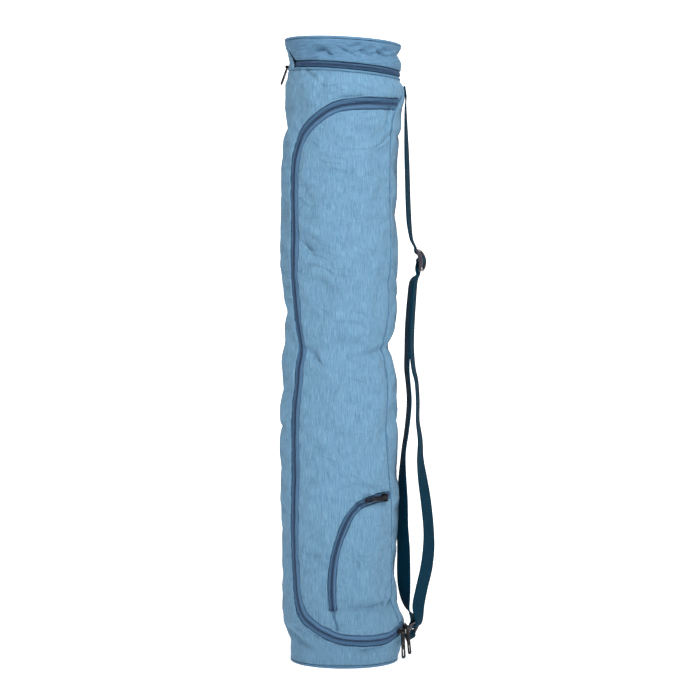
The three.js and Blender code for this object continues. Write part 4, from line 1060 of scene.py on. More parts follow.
def cloth_net():
    """Triangles over the whole flat tube, whose edges follow every cut."""
    fixed, loose, filling = net_points()
    corners = []
    edges = []

    def add_line(line, closed=False):
        start = len(corners)
        corners.extend(line)
        edges.extend((start + k, start + k + 1) for k in range(len(line) - 1))
        if closed:
            edges.append((start + len(line) - 1, start))

    across = np.linspace(-WRAP_X, WRAP_X, round(2 * WRAP_X / NET_SPACING) + 1)
    wrap_top = collar_at(180) - PIECE_GAP
    up = np.linspace(BODY_LOW, wrap_top, round((wrap_top - BODY_LOW) / NET_SPACING) + 1)
    border = [(x, BODY_LOW) for x in across]
    border += [(WRAP_X, y) for y in up[1:-1]]
    border += [(x, collar_at(angle_of(x)) - PIECE_GAP) for x in across[::-1]]
    border += [(-WRAP_X, y) for y in up[-2:0:-1]]
    add_line(border, closed=True)
    for line in fixed:
        add_line([tuple(p) for p in line])
    points = np.vstack([np.array(corners), loose, filling])
    result = delaunay_2d_cdt([Vector(p) for p in points], edges, [], 0, 1e-4, False)
    flat = np.array([tuple(v) for v in result[0]])
    faces = np.array([f for f in result[2] if len(f) == 3])
    a, b, c = (flat[faces[:, i]] for i in range(3))
    area = (b[:, 0] - a[:, 0]) * (c[:, 1] - a[:, 1]) - (b[:, 1] - a[:, 1]) * (c[:, 0] - a[:, 0])
    faces[area < 0] = faces[area < 0][:, ::-1]
    return flat, faces[np.abs(area) > 1e-5]


def in_band(band, points):
    """Whether points lie in a band, between its two ends."""
    beyond, where = band_edge(band, points)
    return (beyond < 0) & (where > 0) & (where < run_length(band[0])[-1])


def door_outline():
    top = main_line[main_line[:, 0] < seam_x(main_line[:, 1])]
    heights = np.linspace(top[-1][1], top[0][1], 200)
    return np.vstack([top, np.stack([seam_x(heights), heights], axis=1)])


def pocket_outline():
    foot = pocket_seam_line[-1] - (0, 18)
    start = pocket_line[0] + (18, 0)
    return np.vstack([start[None], pocket_line, pocket_seam_line, foot[None], [[start[0], foot[1]]]])


def edge_out(edge):
    """How the cloth rolls down to the cut edge and dips at its stitches."""
    t = np.clip(1 - np.maximum(edge, 0) / EDGE_ROLL, 0, 1)
    roll = -EDGE_DROP * (1 - np.sqrt(1 - t * t))
    groove = -STITCH_GROOVE * np.exp(-((edge - STITCH_INSET) / 0.6) ** 2)
    return roll + groove


net_spots, net_faces = cloth_net()
net_centres = net_spots[net_faces].mean(axis=1)
cut_away = np.zeros(len(net_faces), bool)
for band in CUT_BANDS:
    cut_away |= in_band(band, net_centres)
top_line = collar_at(angle_of(net_centres[:, 0])) - PIECE_GAP
cut_away |= (net_centres[:, 1] > top_line + 0.01) | (net_centres[:, 1] < BODY_LOW)
in_door = inside(door_outline(), net_centres) & ~cut_away
in_pocket = in_door & inside(pocket_outline(), net_centres)

net_edge = cloth_edge_distance(net_spots)
swell = ripple(net_spots, net_edge)
net_angles = angle_of(net_spots[:, 0])
outer_skin = wall_at(net_angles, net_spots[:, 1], swell + edge_out(net_edge))
inner_skin = wall_at(net_angles, net_spots[:, 1], swell - CLOTH_WALL)

# The two sides of the flat cloth meet at the back
right_side = np.where(np.abs(net_spots[:, 0] - WRAP_X) < 1e-3)[0]
left_side = np.where(np.abs(net_spots[:, 0] + WRAP_X) < 1e-3)[0]
right_side = right_side[np.argsort(net_spots[right_side, 1])]
left_side = left_side[np.argsort(net_spots[left_side, 1])]
joined = np.arange(len(net_spots))
joined[right_side] = left_side


def cloth_piece(name, chosen, nodes):
    """The triangles that were chosen, as a closed cloth."""
    corners = net_spots[net_faces[chosen]]
    used, renamed = np.unique(joined[net_faces[chosen]], return_inverse=True)
    triangles = renamed.reshape(-1, 3)
    skin = double_skin(outer_skin[used], inner_skin[used], triangles, net_spots[used], corners)
    return add_piece(name, new_mesh(name, *skin), body_cloth, nodes)


cloth_piece("body_cloth", ~cut_away & ~in_door, ["bag_body"])
cloth_piece("door_cloth", in_door & ~in_pocket, ["front_panel"])
cloth_piece("pocket_cloth", in_pocket, ["pocket_panel"])


# Bands along flat lines: tapes and seams

def band_stations(line, section, start_slant=0.0):
    """Section loops along a flat line; a section is rows of across and out."""
    side = sideways(line)
    run = np.stack([side[:, 1], -side[:, 0]], axis=1)
    lengths = run_length(line)
    section = np.asarray(section, float)
    loops = []
    for k in range(len(line)):
        slant = start_slant * max(0.0, 1 - lengths[k] / 12)
        spots = line[k] + side[k] * section[:, :1] + run[k] * (section[:, :1] * slant)
        loops.append(spots)
    spots = np.vstack(loops)
    out = np.tile(section[:, 1], len(line))
    return place(spots, out).reshape(len(line), len(section), 3), lengths


def add_band(name, line, section, material, nodes, start_slant=0.0):
    stations, lengths = band_stations(line, section, start_slant)
    return add_piece(name, sweep_mesh(name, stations, lengths, False), material, nodes)


# A tape's section: share of the way from the coil to the rim, and distance out; then its underside
TAPE_TOP = [
    (1.0, -2.25), (0.78, -2.15), (0.68, -1.45), (0.6, -1.0), (0.5, -0.86), (0.38, -0.84),
    (0.33, -1.15), (0.26, -1.15), (0.21, -0.84), (0.04, -0.86), (0.0, -1.0),
]
TAPE_UNDER = [(0.0, -1.9), (0.55, -2.0), (0.8, -3.0), (1.0, -3.1)]
TAPE_START = 0.9


def tape_section(half, sign):
    return [(sign * (TAPE_START + (half - TAPE_START) * share), out) for share, out in TAPE_TOP + TAPE_UNDER]


def coil_mesh(name, reach):
    left = capsule_points(reach, 0.42, True, 6, 0.16, (0, -reach * 0.42, 0))
    right = capsule_points(reach, 0.42, True, 6, 0.16, (TOOTH_PITCH / 2, reach * 0.42, 0))
    return bars_mesh(name, [left, right])


def path_on_wall(line, out):
    """A path in space over a flat line, and the wall's outward direction along it."""
    here = place(line, out)
    above = place(line, out + 1.0)
    outward = above - here
    return here, outward / np.linalg.norm(outward, axis=1)[:, None]


def add_zip(prefix, line, half, names, start_slant=0.0):
    for name, sign, cloth in zip(names, (-1, 1), (shaded_outer_tape_cloth, inner_tape_cloth)):
        add_band(f"{prefix}_{name}_weave", line, tape_section(half, sign), cloth,
                 [f"{prefix}_{name}"], start_slant)
    path = path_on_wall(resample(line, TOOTH_PITCH), TEETH_LEVEL)
    reach = min(TOOTH_REACH, half * 0.5)
    repeat_along(prefix + "_teeth", [path], coil_mesh(prefix + "_tooth", reach), TOOTH_PITCH,
                 coil_finish, nodes=[prefix + "_coil"])


add_zip("main_zip", main_line, MAIN_ZIP_HALF, ("outer_tape", "inner_tape"), 0.5)
add_zip("pocket_zip", pocket_line, POCKET_ZIP_HALF, ("outer_tape", "inner_tape"))


def round_line(height_at, start, end):
    angles = np.linspace(start, end, round(abs(end - start) * 0.55))
    return np.stack([flat_x(angles), height_at(angles)], axis=1)


def lid_zip_middle(angle):
    return lid_zip_low(angle) + LID_ZIP_HALF


lid_line = round_line(lid_zip_middle, LID_ZIP_START, LID_ZIP_END)
add_zip("lid_zip", lid_line, LID_ZIP_HALF, ("lower_tape", "upper_tape"))


def seam_section(half, rise):
    low = rise - 0.8
    return [(-half, low - 0.9), (-half * 0.9, low), (-half * 0.45, rise * 0.9), (0, rise),
            (half * 0.45, rise * 0.9), (half * 0.9, low), (half, low - 0.9), (half, -2.4), (-half, -2.4)]


# The seam folds take the darker seam cloth, which paints shade along the seams
add_band("side_seam_fold", seam_line, seam_section(SIDE_SEAM_HALF + 0.1, -0.5),
         shaded_seam_cloth, ["side_seam_welt"])
add_band("pocket_seam_fold", pocket_seam_line, seam_section(POCKET_SEAM_HALF + 0.1, -0.4),
         shaded_seam_cloth, ["pocket_seam_welt"])
collar_line = round_line(lambda angle: collar_at(angle) + COLLAR_WELT / 2, LID_ZIP_START, LID_ZIP_END)
add_band("collar_fold", collar_line, seam_section(COLLAR_WELT / 2 + 0.15, 0.75),
         shaded_lid_cloth, ["collar_welt"])


# Lid

LID_FOLD_DEPTH = 2.9

LID_FOLDS = table(FOLD_COLUMNS, [
    (-24, 0.981, 0.16, 0.03, 16, -0.015),
    (-18, 0.9745, 0.12, 0.035, -35, -0.02),
    (-30, 0.9715, 0.2, 0.03, 12, 0.016),
    (2, 0.9765, 0.16, 0.028, -25, -0.018),
    (12, 0.9795, 0.14, 0.028, 20, 0.018),
    (22, 0.975, 0.15, 0.03, -22, -0.02),
    (33, 0.979, 0.14, 0.03, 18, 0.018),
    (45, 0.9735, 0.16, 0.03, -20, -0.02),
    (58, 0.9775, 0.2, 0.035, 10, 0.016),
    (95, 0.976, 0.3, 0.035, -12, -0.02),
    (130, 0.974, 0.25, 0.04, 18, -0.018),
    (170, 0.978, 0.35, 0.035, -8, -0.022),
    (215, 0.975, 0.3, 0.035, 14, -0.018),
])


def lid_points(angle, z, out):
    """Points of the lid's cloth, with its crumples."""
    base = wall_at(angle, z, 0).reshape(-1, 3)
    grain = 0.45 * soft_noise(base * (1, 1, 2.2), 16, 11) + 0.2 * soft_noise(base * (1, 1, 1.6), 7, 13)
    extra = LID_FOLD_DEPTH * fold_push(LID_FOLDS, angle.ravel(), z.ravel()) + grain
    return wall_at(angle.ravel(), z.ravel(), out.ravel() + extra)


def cloth_patch(name, across_count, up_count, angle_at, height_at, material, nodes):
    """A closed cloth over a grid whose angle and height are functions of u and v."""
    u, v = np.meshgrid(np.linspace(0, 1, across_count + 1), np.linspace(0, 1, up_count + 1))
    angle = angle_at(u, v)
    z = height_at(angle, v)
    spots = np.stack([flat_x(angle).ravel(), z.ravel()], axis=1)
    low_edge = (z - height_at(angle, np.zeros_like(v)))
    high_edge = (height_at(angle, np.ones_like(v)) - z)
    roll = edge_out(np.minimum(low_edge, high_edge + 0.6))
    skin_out = lid_points(angle, z, roll)
    skin_in = lid_points(angle, z, np.full_like(z, -CLOTH_WALL))
    triangles = []
    width = across_count + 1
    for j in range(up_count):
        for i in range(across_count):
            a = j * width + i
            triangles += [(a, a + 1, a + width + 1), (a, a + width + 1, a + width)]
    triangles = np.array(triangles)
    skin = double_skin(skin_out, skin_in, triangles, spots, spots[triangles])
    return add_piece(name, new_mesh(name, *skin), material, nodes)


STRIP_GAP = math.degrees(PIECE_GAP / BODY_RADIUS) * 1.5


def hinge_edge(v):
    return LID_ZIP_START + (HINGE_TOP - LID_ZIP_START) * v


cloth_patch("lid_band_cloth", 260, 22, lambda u, v: hinge_edge(v) + (LID_ZIP_END - hinge_edge(v)) * u,
            lambda angle, v: lid_band_low(angle) + (lid_band_high(angle) - lid_band_low(angle)) * v,
            shaded_lid_cloth, ["lid_band"])
cloth_patch("lid_hinge_cloth", 30, 26,
            lambda u, v: (LID_ZIP_END - 360 + STRIP_GAP) * (1 - u) + (hinge_edge(v) - STRIP_GAP) * u,
            lambda angle, v: collar_at(angle) + (lid_band_high(angle) - collar_at(angle)) * v,
            body_cloth, ["lid_hinge"])


# Piping at the rim and round the base, and the round ends

def piping(name, height_at, nodes):
    radius = WELT / 2
    angles = np.linspace(0, 360, PIPING_STEPS + 1)[:-1]
    turns = np.linspace(0, 2 * math.pi, PIPING_SIDES + 1)[:-1]
    stations = []
    for angle in angles:
        out = radius * np.cos(turns) - radius
        up = radius * np.sin(turns)
        stations.append(wall_at(np.full(PIPING_SIDES, angle), height_at(angle) + up, out))
    lengths = np.linspace(0, 2 * math.pi * BODY_RADIUS, PIPING_STEPS + 1)
    return add_piece(name, sweep_mesh(name, stations, lengths, True), shaded_lid_cloth, nodes)


piping("rim_piping", lambda angle: rim_at(angle) - WELT / 2, ["lid_piping"])
piping("base_piping", lambda angle: WELT / 2, ["base_welt"])


def round_end(name, top_at, sag, low_flat, nodes):
    """A round cloth end inside the piping, as a closed sheet."""
    rings = 26
    around = 120
    angles = np.linspace(0, 360, around + 1)[:-1]
    edge_ring = wall_at(angles, top_at(angles), -WELT - PIECE_GAP + 0.5)
    middle = np.array([0, 0, top_at(0)])
    points = [middle + (0, 0, -sag)]
    for ring in range(1, rings + 1):
        share = ring / rings
        circle = middle + (edge_ring - middle) * share
        circle[:, 2] -= sag * (1 - share * share)
        points.extend(circle)
    points = np.array(points)
    if not low_flat:
        fade = np.clip(1 - np.hypot(points[:, 0], points[:, 1]) / BODY_RADIUS, 0, 1)
        points[:, 2] += fade * (0.8 * soft_noise(points, 30, 21) + 0.35 * soft_noise(points, 12, 22))
    triangles = []
    for i in range(around):
        j = (i + 1) % around
        triangles.append((0, 1 + i, 1 + j))
        for ring in range(rings - 1):
            a = 1 + ring * around
            b = a + around
            triangles += [(a + i, b + i, b + j), (a + i, b + j, a + j)]
    triangles = np.array(triangles)
    a, b, c = (points[triangles[0][k]] for k in range(3))
    if np.cross(b - a, c - a)[2] < 0:
        triangles = triangles[:, ::-1]
    spots = points[:, :2]
    skin = double_skin(points, points - (0, 0, CLOTH_WALL), triangles, spots, spots[triangles])
    return add_piece(name, new_mesh(name, *skin), body_cloth, nodes)


round_end("lid_top_cloth", lambda angle: rim_at(angle) - WELT / 2, LID_TOP_SAG, False, ["lid_top"])
round_end("base_cloth", lambda angle: CLOTH_WALL + 0 * angle, 0, True, ["base_panel"])


# Webbing

def ribbon(rows, per_span, width, thickness, depth, bend=None):
    """Section loops of webbing through rows of x, z and twist."""
    curve = catmull_rom([(x, twist, z) for x, z, twist in rows], per_span)
    middle = np.stack([curve[:, 0], np.full(len(curve), float(depth)), curve[:, 2]], axis=1)
    if bend is not None:
        middle = bend(middle)
    run = np.gradient(middle, axis=0)
    run /= np.linalg.norm(run, axis=1)[:, None]
    out = np.stack([-run[:, 2], np.zeros(len(run)), run[:, 0]], axis=1)
    twist = np.radians(curve[:, 1])
    side = np.cos(twist)[:, None] * np.array([0, 1, 0]) + np.sin(twist)[:, None] * out
    normal = np.cross(run, side)
    half = width / 2
    rim = thickness / 2
    section = [(-half, -rim * 0.4), (-half + 0.5, -rim), (-half + 1.6, -rim * 0.9), (0, -rim),
               (half - 1.6, -rim * 0.9), (half - 0.5, -rim), (half, -rim * 0.4), (half, rim * 0.4),
               (half - 0.5, rim), (half - 1.6, rim * 0.9), (0, rim), (-half + 1.6, rim * 0.9),
               (-half + 0.5, rim), (-half, rim * 0.4)]
    loops = [middle + side * a + normal * b for a, b in section]
    return np.stack(loops, axis=1), run_length(middle), (middle, side, normal)


def plane_point(spot):
    return np.array([spot[1] * BODY_RADIUS, spot[0] * BAG_HEIGHT])


adjuster_at = plane_point(ADJUSTER_PLACE)
lean = math.radians(ADJUSTER_LEAN)
adjuster_down = np.array([math.sin(lean), -math.cos(lean)])
adjuster_out = np.array([math.cos(lean), math.sin(lean)])

# How far the adjuster's frame and pin bend outwards, and how near the strap has to be to bend too
FRAME_BULGE = 3.3
PIN_BULGE = 0.7
ADJUSTER_DEPTH = 14
# How the strap turns at the ring and the adjuster, in degrees, and how far up that reaches
RING_TURN = 20
RING_TURN_REACH = 30
ADJUSTER_TURN = 10
ADJUSTER_TURN_REACH = 17
SEAT_REACH = 68


def beside_adjuster(down, out):
    x, z = adjuster_at + adjuster_down * down + adjuster_out * out
    return (x, z, 0)


def bent_out(points, most):
    """Bends what lies at the adjuster outwards, as its curved frame is bent."""
    offset = points[:, [0, 2]] - adjuster_at
    down = offset @ adjuster_down
    out = offset @ adjuster_out
    near = np.clip(1 - (down / ADJUSTER_HEIGHT * 2) ** 2, 0, 1) * (np.abs(out) < ADJUSTER_DEPTH)
    moved = points.copy()
    moved[:, [0, 2]] += adjuster_out * (most * near)[:, None]
    return moved


def swung(points, middle_x, turn):
    """Turns points about an upright line through the strap's middle, by degrees for each point."""
    offset_x = points[..., 0] - middle_x
    offset_y = points[..., 1] - STRAP_DEPTH
    c = np.cos(np.radians(turn))
    s = np.sin(np.radians(turn))
    x = middle_x + offset_x * c + offset_y * s
    y = STRAP_DEPTH + offset_y * c - offset_x * s
    return np.stack([x, y, points[..., 2]], axis=-1)


def as_it_hangs(points):
    """Turns what hangs at the ring and at the adjuster, as the strap's twist does."""
    rise = points[..., 2] - ring_at[1]
    seat = np.clip(np.maximum((points[..., 0] - SEAT_REACH) / 5, rise / 6 - 1), 0, 1)
    fade = np.exp(-(np.maximum(rise, 0) / RING_TURN_REACH) ** 2)
    points = swung(points, ring_at[0], RING_TURN * seat * fade)
    fade = np.exp(-((points[..., 2] - adjuster_at[1]) / ADJUSTER_TURN_REACH) ** 4)
    return swung(points, adjuster_at[0], ADJUSTER_TURN * fade)


layer = STRAP_THICKNESS + PIECE_GAP
inner_layer = -ADJUSTER_THICKNESS / 2 - PIECE_GAP - STRAP_THICKNESS / 2
pin_layer = ADJUSTER_PIN + 0.25 + STRAP_THICKNESS / 2
over_pin = pin_layer + layer + 0.1
bar_down = ADJUSTER_HEIGHT / 2 - ADJUSTER_BAR / 2
SLOT_RUN = 3
SLOT_ENTRY = 1.6
through_adjuster = [beside_adjuster(*spot) for spot in (
    (-bar_down - SLOT_RUN, inner_layer), (-bar_down + SLOT_ENTRY, inner_layer),
    (-bar_down / 2 + 0.2, over_pin * 0.24), (-over_pin * 0.53, over_pin * 0.86), (0, over_pin),
    (over_pin * 0.53, over_pin * 0.86), (bar_down / 2 - 0.2, over_pin * 0.24),
    (bar_down - SLOT_ENTRY, inner_layer), (bar_down + SLOT_RUN, inner_layer))]
round_pin = [beside_adjuster(*spot) for spot in (
    (bar_down + SLOT_RUN, inner_layer - layer), (bar_down - SLOT_ENTRY, inner_layer - layer),
    (bar_down / 2 - 0.4, inner_layer - layer * 0.55), (pin_layer * 0.7, -pin_layer * 0.98),
    (-pin_layer * 0.3, -pin_layer * 0.96), (-pin_layer * 0.95, -pin_layer * 0.32),
    (-pin_layer * 0.78, pin_layer * 0.62), (0, pin_layer))]

ring_at = plane_point(RING_PLACE)
ring_turn = math.radians(RING_LEAN)
ring_up = np.array([math.sin(ring_turn), math.cos(ring_turn)])
ring_out = np.array([math.cos(ring_turn), -math.sin(ring_turn)])
ring_reach = (RING_HEIGHT - RING_WIRE) / 2
wrap = RING_WIRE / 2 + 1.6 * PIECE_GAP + STRAP_THICKNESS / 2


def beside_ring(up, out):
    x, z = ring_at + ring_up * up + ring_out * out
    return (x, z, 0)


round_ring_top = [beside_ring(*spot) for spot in (
    (ring_reach + SLOT_RUN, wrap * 1.02), (ring_reach, wrap), (ring_reach - wrap * 0.7, wrap * 0.72),
    (ring_reach - wrap, 0), (ring_reach - wrap * 0.7, -wrap * 0.72), (ring_reach, -wrap),
    (ring_reach + SLOT_RUN, -wrap * 1.1))]


def strap_angle(z):
    return 90 + math.degrees(STRAP_DEPTH / wall_at(90, z, 0)[0])


def seated(z, clearance):
    return (wall_at(strap_angle(z), z, clearance)[0], z, 0)


def strap_rows(rows):
    return [(out * BODY_RADIUS, height * BAG_HEIGHT, twist) for height, out, twist in rows]


STRAP_TOP = 0.929 * BAG_HEIGHT
STRAP_SEAT = 12
seat_out = STRAP_SEAT_CLEARANCE + STRAP_THICKNESS / 2
strap_path = [seated(STRAP_TOP, seat_out), seated(STRAP_TOP - STRAP_SEAT, seat_out),
              *strap_rows(STRAP_UPPER), *through_adjuster, *strap_rows(STRAP_OUTER), *round_ring_top,
              *strap_rows(STRAP_INNER), *round_pin]
stations, lengths, strap_frames = ribbon(
    strap_path, 7, STRAP_WIDTH, STRAP_THICKNESS, STRAP_DEPTH, lambda line: bent_out(line, PIN_BULGE))
add_piece("shoulder_webbing", sweep_mesh("shoulder_webbing", as_it_hangs(stations), lengths, False),
          webbing, ["shoulder_strap"])

tab_z = ring_at[1] + TAB_RISE
tab_spread = wrap * 1.5
tab_path = [
    seated(tab_z + tab_spread / 2, TAB_SEAT),
    *(beside_ring(*spot) for spot in (
        (-ring_reach + wrap * 1.2, wrap * 0.1), (-ring_reach + wrap * 0.75, wrap * 0.75),
        (-ring_reach, wrap), (-ring_reach - wrap * 0.75, wrap * 0.7), (-ring_reach - wrap, 0),
        (-ring_reach - wrap * 0.72, -wrap * 0.72))),
    seated(tab_z - tab_spread / 2, TAB_SEAT),
]
stations, lengths, _ = ribbon(tab_path, 8, STRAP_WIDTH, STRAP_THICKNESS, STRAP_DEPTH)
add_piece("ring_tab_webbing", sweep_mesh("ring_tab_webbing", as_it_hangs(stations), lengths, False),
          webbing, ["ring_tab"])


# Stitches: in the cloth beside the zips, and in the webbing's seat

stitch_bar = capsule_points(STITCH_PITCH * 0.72, 0.2, False, 6, 0.12, (0, 0, -0.05))
stitch_small = bars_mesh("stitch_small", [stitch_bar])


def stitch_runs(line, halves, sign):
    """The stretches of a stitch line that lie on whole cloth."""
    spots = line + sideways(line) * (halves + STITCH_INSET)[:, None] * sign
    below_collar = spots[:, 1] < collar_at(angle_of(spots[:, 0])) - 4
    good = (cloth_edge_distance(spots) > STITCH_INSET * 0.8) & below_collar
    runs = []
    start = None
    for k, whole in enumerate([*good, False]):
        if whole and start is None:
            start = k
        if not whole and start is not None:
            if k - start > 4:
                runs.append(spots[start:k])
            start = None
    return runs


def add_stitches(name, bands):
    paths = []
    for line, halves in bands:
        for sign in (-1, 1):
            paths += [path_on_wall(run, -STITCH_GROOVE) for run in stitch_runs(line, halves, sign)]
    repeat_along(name, paths, stitch_small, STITCH_PITCH, thread_finish, sway=0.06, seed=4)


add_stitches("main_zip_stitches", CUT_BANDS[:1])
add_stitches("pocket_zip_stitches", CUT_BANDS[2:3])


def on_webbing(frames, corners):
    """A stitch path over webbing through places given as (share of a seat, across)."""
    middle, side, normal = frames
    seat = middle[:8]
    points = []
    outwards = []
    for (a_run, a_across), (b_run, b_across) in zip(corners, corners[1:]):
        for t in np.linspace(0, 1, 12)[:-1]:
            run = (a_run + (b_run - a_run) * t) * (len(seat) - 1)
            k = min(int(run), len(seat) - 2)
            across = a_across + (b_across - a_across) * t
            here = seat[k] + (seat[k + 1] - seat[k]) * (run - k)
            points.append(here + side[k] * across + normal[k] * (STRAP_THICKNESS / 2))
            outwards.append(normal[k])
    return np.array(points), np.array(outwards)


# A box with a cross in it: share of the seat's run, distance across
SEAT_BOX = [
    (0.12, -10), (0.88, -10), (0.88, 10), (0.12, 10), (0.12, -10), (0.88, 10), (0.88, -10), (0.12, 10),
]
repeat_along("strap_stitches", [on_webbing(strap_frames, SEAT_BOX)], stitch_small, STITCH_PITCH,
             strap_thread_finish, seed=6)


# Hardware

# How far the main pulls turn on their own length, with the play of their hinges, in degrees
PULL_PLAY = 25
ROUNDING = 0.22


def rounded_copy(node, body, material, width, play=0.0):
    """A CAD part with its faces merged and its edges rounded, turned by its play on the hinge."""
    source = bpy.data.objects[node]
    mesh = source.data.copy()
    mesh.transform(source.matrix_world)
    for joint in frame["joints"]:
        if joint["child"] == body and play:
            pivot = Vector(joint["pos_m"])
            tip = max((vertex.co for vertex in mesh.vertices), key=lambda spot: (spot - pivot).length)
            turn = Matrix.Rotation(math.radians(play), 4, tip - pivot)
            mesh.transform(Matrix.Translation(pivot) @ turn @ Matrix.Translation(-pivot))
    net = bmesh.new()
    net.from_mesh(mesh)
    bmesh.ops.remove_doubles(net, verts=net.verts, dist=0.02 * MM)
    bmesh.ops.dissolve_limit(net, angle_limit=math.radians(4), verts=net.verts, edges=net.edges)
    sharp = [edge for edge in net.edges if edge.is_manifold and edge.calc_face_angle() > math.radians(28)]
    bmesh.ops.bevel(net, geom=sharp, offset=width * MM, segments=2, profile=0.6, affect="EDGES",
                    clamp_overlap=True)
    net.to_mesh(mesh)
    net.free()
    mesh.polygons.foreach_set("use_smooth", np.full(len(mesh.polygons), True))
    mesh.update()
    return add_piece(node + "_finish", mesh, material, [node], body)


for node, body, play in (
        ("main_slider_left", "bag", 0), ("main_slider_right", "bag", 0), ("pocket_slider", "bag", 0),
        ("lid_slider", "bag", 0), ("main_pull_left", "left_main_pull", PULL_PLAY),
        ("main_pull_right", "right_main_pull", PULL_PLAY), ("pocket_pull", "small_pocket_pull", 0),
        ("lid_pull", "lid_zip_pull", 0)):
    rounded_copy(node, body, black_metal, ROUNDING, play)


def block_loop(centre, a, b, squareness=0.55):
    """A section between a rectangle and an oval, with half sides a and b as vectors."""
    turns = np.linspace(0, 2 * math.pi, 17)[:-1]
    c = np.sign(np.cos(turns)) * np.abs(np.cos(turns)) ** squareness
    s = np.sign(np.sin(turns)) * np.abs(np.sin(turns)) ** squareness
    return np.asarray(centre) + np.outer(c, a) + np.outer(s, b)


def moulded(name, bars, voxel, material, nodes):
    """One moulded part from overlapping bars, with soft corners."""
    helper = bpy.data.objects.new(name, bars_mesh(name, bars))
    bpy.context.scene.collection.objects.link(helper)
    remesh = helper.modifiers.new("join", "REMESH")
    remesh.mode = "VOXEL"
    remesh.voxel_size = voxel * MM
    smooth = helper.modifiers.new("soften", "SMOOTH")
    smooth.iterations = 5
    graph = bpy.context.evaluated_depsgraph_get()
    mesh = bpy.data.meshes.new_from_object(helper.evaluated_get(graph))
    bpy.data.objects.remove(helper)
    points = np.array([vertex.co for vertex in mesh.vertices])
    mesh.vertices.foreach_set("co", (as_it_hangs(points / MM) * MM).ravel())
    mesh.polygons.foreach_set("use_smooth", np.full(len(mesh.polygons), True))
    return add_piece(name, mesh, material, nodes)


def adjuster_bars():
    down3 = np.array([adjuster_down[0], 0, adjuster_down[1]])
    out3 = np.array([adjuster_out[0], 0, adjuster_out[1]])
    centre = np.array([adjuster_at[0], STRAP_DEPTH, adjuster_at[1]])
    across = np.array([0, 1, 0])
    half_high = ADJUSTER_HEIGHT / 2
    side_at = STRAP_WIDTH / 2 + SLOT_CLEARANCE + ADJUSTER_BAR / 2
    bars = []
    for sign in (-1, 1):
        loops = []
        for down in np.linspace(-half_high, half_high, 17):
            crown = 1 - (down / half_high) ** 2
            spot = centre + down3 * down + out3 * (FRAME_BULGE * crown) + across * (side_at * sign)
            thick = (ADJUSTER_THICKNESS + 2.3 * crown) / 2
            loops.append(block_loop(spot, across * (ADJUSTER_BAR / 2), out3 * thick))
        bars.append(loops)
        down = (half_high - ADJUSTER_BAR / 2) * sign
        crown = 1 - (down / half_high) ** 2
        bars.append([block_loop(centre + down3 * down + out3 * (FRAME_BULGE * crown) + across * y,
                                down3 * (ADJUSTER_BAR / 2), out3 * (ADJUSTER_THICKNESS / 2))
                     for y in np.linspace(-side_at, side_at, 5)])
    bars.append([block_loop(centre + out3 * PIN_BULGE + across * y, down3 * ADJUSTER_PIN,
                            out3 * ADJUSTER_PIN, 1.0) for y in np.linspace(-side_at, side_at, 5)])
    return bars


moulded("adjuster_frame", adjuster_bars(), 0.4, black_plastic, ["strap_adjuster"])


def ring_loops():
    """The wire ring: a rectangle with round corners, seen along its wire."""
    up3 = np.array([ring_up[0], 0, ring_up[1]])
    out3 = np.array([ring_out[0], 0, ring_out[1]])
    centre = np.array([ring_at[0], STRAP_DEPTH, ring_at[1]])
    half_wide = STRAP_WIDTH / 2 + SLOT_CLEARANCE + RING_WIRE / 2
    corner = SLOT_CLEARANCE + RING_WIRE / 2
    line = []
    for x, z, first in ((1, 1, 0), (-1, 1, 90), (-1, -1, 180), (1, -1, 270)):
        for turn in np.radians(np.linspace(first, first + 90, 9)):
            line.append((x * (half_wide - corner) + corner * math.cos(turn),
                         z * (ring_reach - corner) + corner * math.sin(turn)))
    line = resample(np.array([*line, line[0]]), RING_STEP)[:-1]
    run = np.roll(line, -1, axis=0) - np.roll(line, 1, axis=0)
    run /= np.linalg.norm(run, axis=1)[:, None]
    loops = []
    for (y, z), (run_y, run_z) in zip(line, run):
        spot = centre + np.array([0, 1, 0]) * y + up3 * z
        sideways_ = np.array([0, 1, 0]) * -run_z + up3 * run_y
        loops.append(block_loop(spot, sideways_ * (RING_WIRE / 2), out3 * (RING_WIRE / 2), 0.8))
    return as_it_hangs(np.array(loops))


loops = ring_loops()
ring_lengths = np.arange(len(loops) + 1) * RING_STEP
add_piece("ring_wire", sweep_mesh("ring_wire", loops, ring_lengths, True), black_plastic,
          ["strap_ring"])


# Floor, light and camera

# The stage, in millimetres
STAGE_HALF = 4000
FLOOR_FRONT = -3000
FLOOR_END = 800
COVE_START = 3000
COVE_RADIUS = 1200
FLOOR_GLOW = 0.6
BACKDROP_GLOW = 0.95
WORLD_LIGHT = 0.3
# The camera: lens and sensor in millimetres, places in metres
CAMERA_LENS = 113.6
CAMERA_SENSOR = 36
CAMERA_PLACE = (0.0058, -2.43, 0.425)
CAMERA_AIM = (0.0058, 0, 0.3425)


def stage_material(name, glow):
    """A plain white surface with a little light of its own."""
    material, _, shader = new_material(name)
    shader.inputs["Base Color"].default_value = (0.92, 0.92, 0.92, 1)
    shader.inputs["Roughness"].default_value = 0.9
    shader.inputs["Specular IOR Level"].default_value = 0.1
    shader.inputs["Emission Color"].default_value = (1, 1, 1, 1)
    shader.inputs["Emission Strength"].default_value = glow
    return material


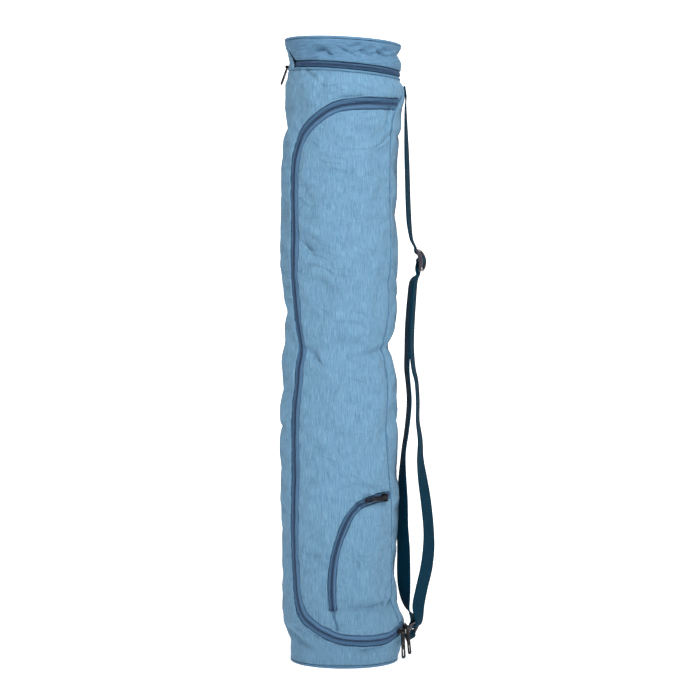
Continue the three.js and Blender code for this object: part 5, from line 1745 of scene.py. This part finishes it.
def add_stage(name, rows, glow):
    """A plain surface over rows of (distance back, height), in mm."""
    points = []
    sheets = []
    for k, (y, z) in enumerate(rows):
        points += [(-STAGE_HALF, y, z), (STAGE_HALF, y, z)]
        if k:
            sheets.append((2 * k - 2, 2 * k - 1, 2 * k + 1, 2 * k))
    stage = bpy.data.objects.new(name, new_mesh(name, points, sheets))
    stage.data.materials.append(stage_material(name, glow))
    bpy.context.scene.collection.objects.link(stage)


def add_light(name, spot, target, size, watts):
    lamp = bpy.data.lights.new(name, "AREA")
    lamp.shape = "RECTANGLE"
    lamp.size, lamp.size_y = size
    lamp.energy = watts
    light = bpy.data.objects.new(name, lamp)
    light.location = spot
    light.rotation_euler = (Vector(target) - Vector(spot)).to_track_quat("-Z", "Y").to_euler()
    bpy.context.scene.collection.objects.link(light)


def add_camera():
    camera_data = bpy.data.cameras.new("camera")
    camera_data.lens = CAMERA_LENS
    camera_data.sensor_width = CAMERA_SENSOR
    camera = bpy.data.objects.new("camera", camera_data)
    camera.location = CAMERA_PLACE
    camera.rotation_euler = (Vector(CAMERA_AIM) - camera.location).to_track_quat("-Z", "Y").to_euler()
    bpy.context.scene.collection.objects.link(camera)
    bpy.context.scene.camera = camera


add_stage("studio_floor", [(FLOOR_FRONT, 0), (-1000, 0), (0, 0), (FLOOR_END, 0)], FLOOR_GLOW)
cove = [(FLOOR_END, 0)]
for turn in np.linspace(0, math.pi / 2, 14):
    cove.append((COVE_START + COVE_RADIUS * math.sin(turn), COVE_RADIUS * (1 - math.cos(turn))))
cove.append((COVE_START + COVE_RADIUS, STAGE_HALF))
add_stage("studio_backdrop", cove, BACKDROP_GLOW)
add_light("front_softbox", (0.25, -1.35, 1.75), (0, 0, 0.38), (0.6, 0.6), 30)
add_light("top_softbox", (0.3, -0.4, 2.6), (0, 0, 0.3), (1.6, 1.6), 14)
world = bpy.data.worlds.new("white_studio")
world.use_nodes = True
background = world.node_tree.nodes["Background"]
background.inputs["Color"].default_value = (1, 1, 1, 1)
background.inputs["Strength"].default_value = WORLD_LIGHT
bpy.context.scene.world = world
bpy.context.scene.view_settings.view_transform = "Standard"
add_camera()
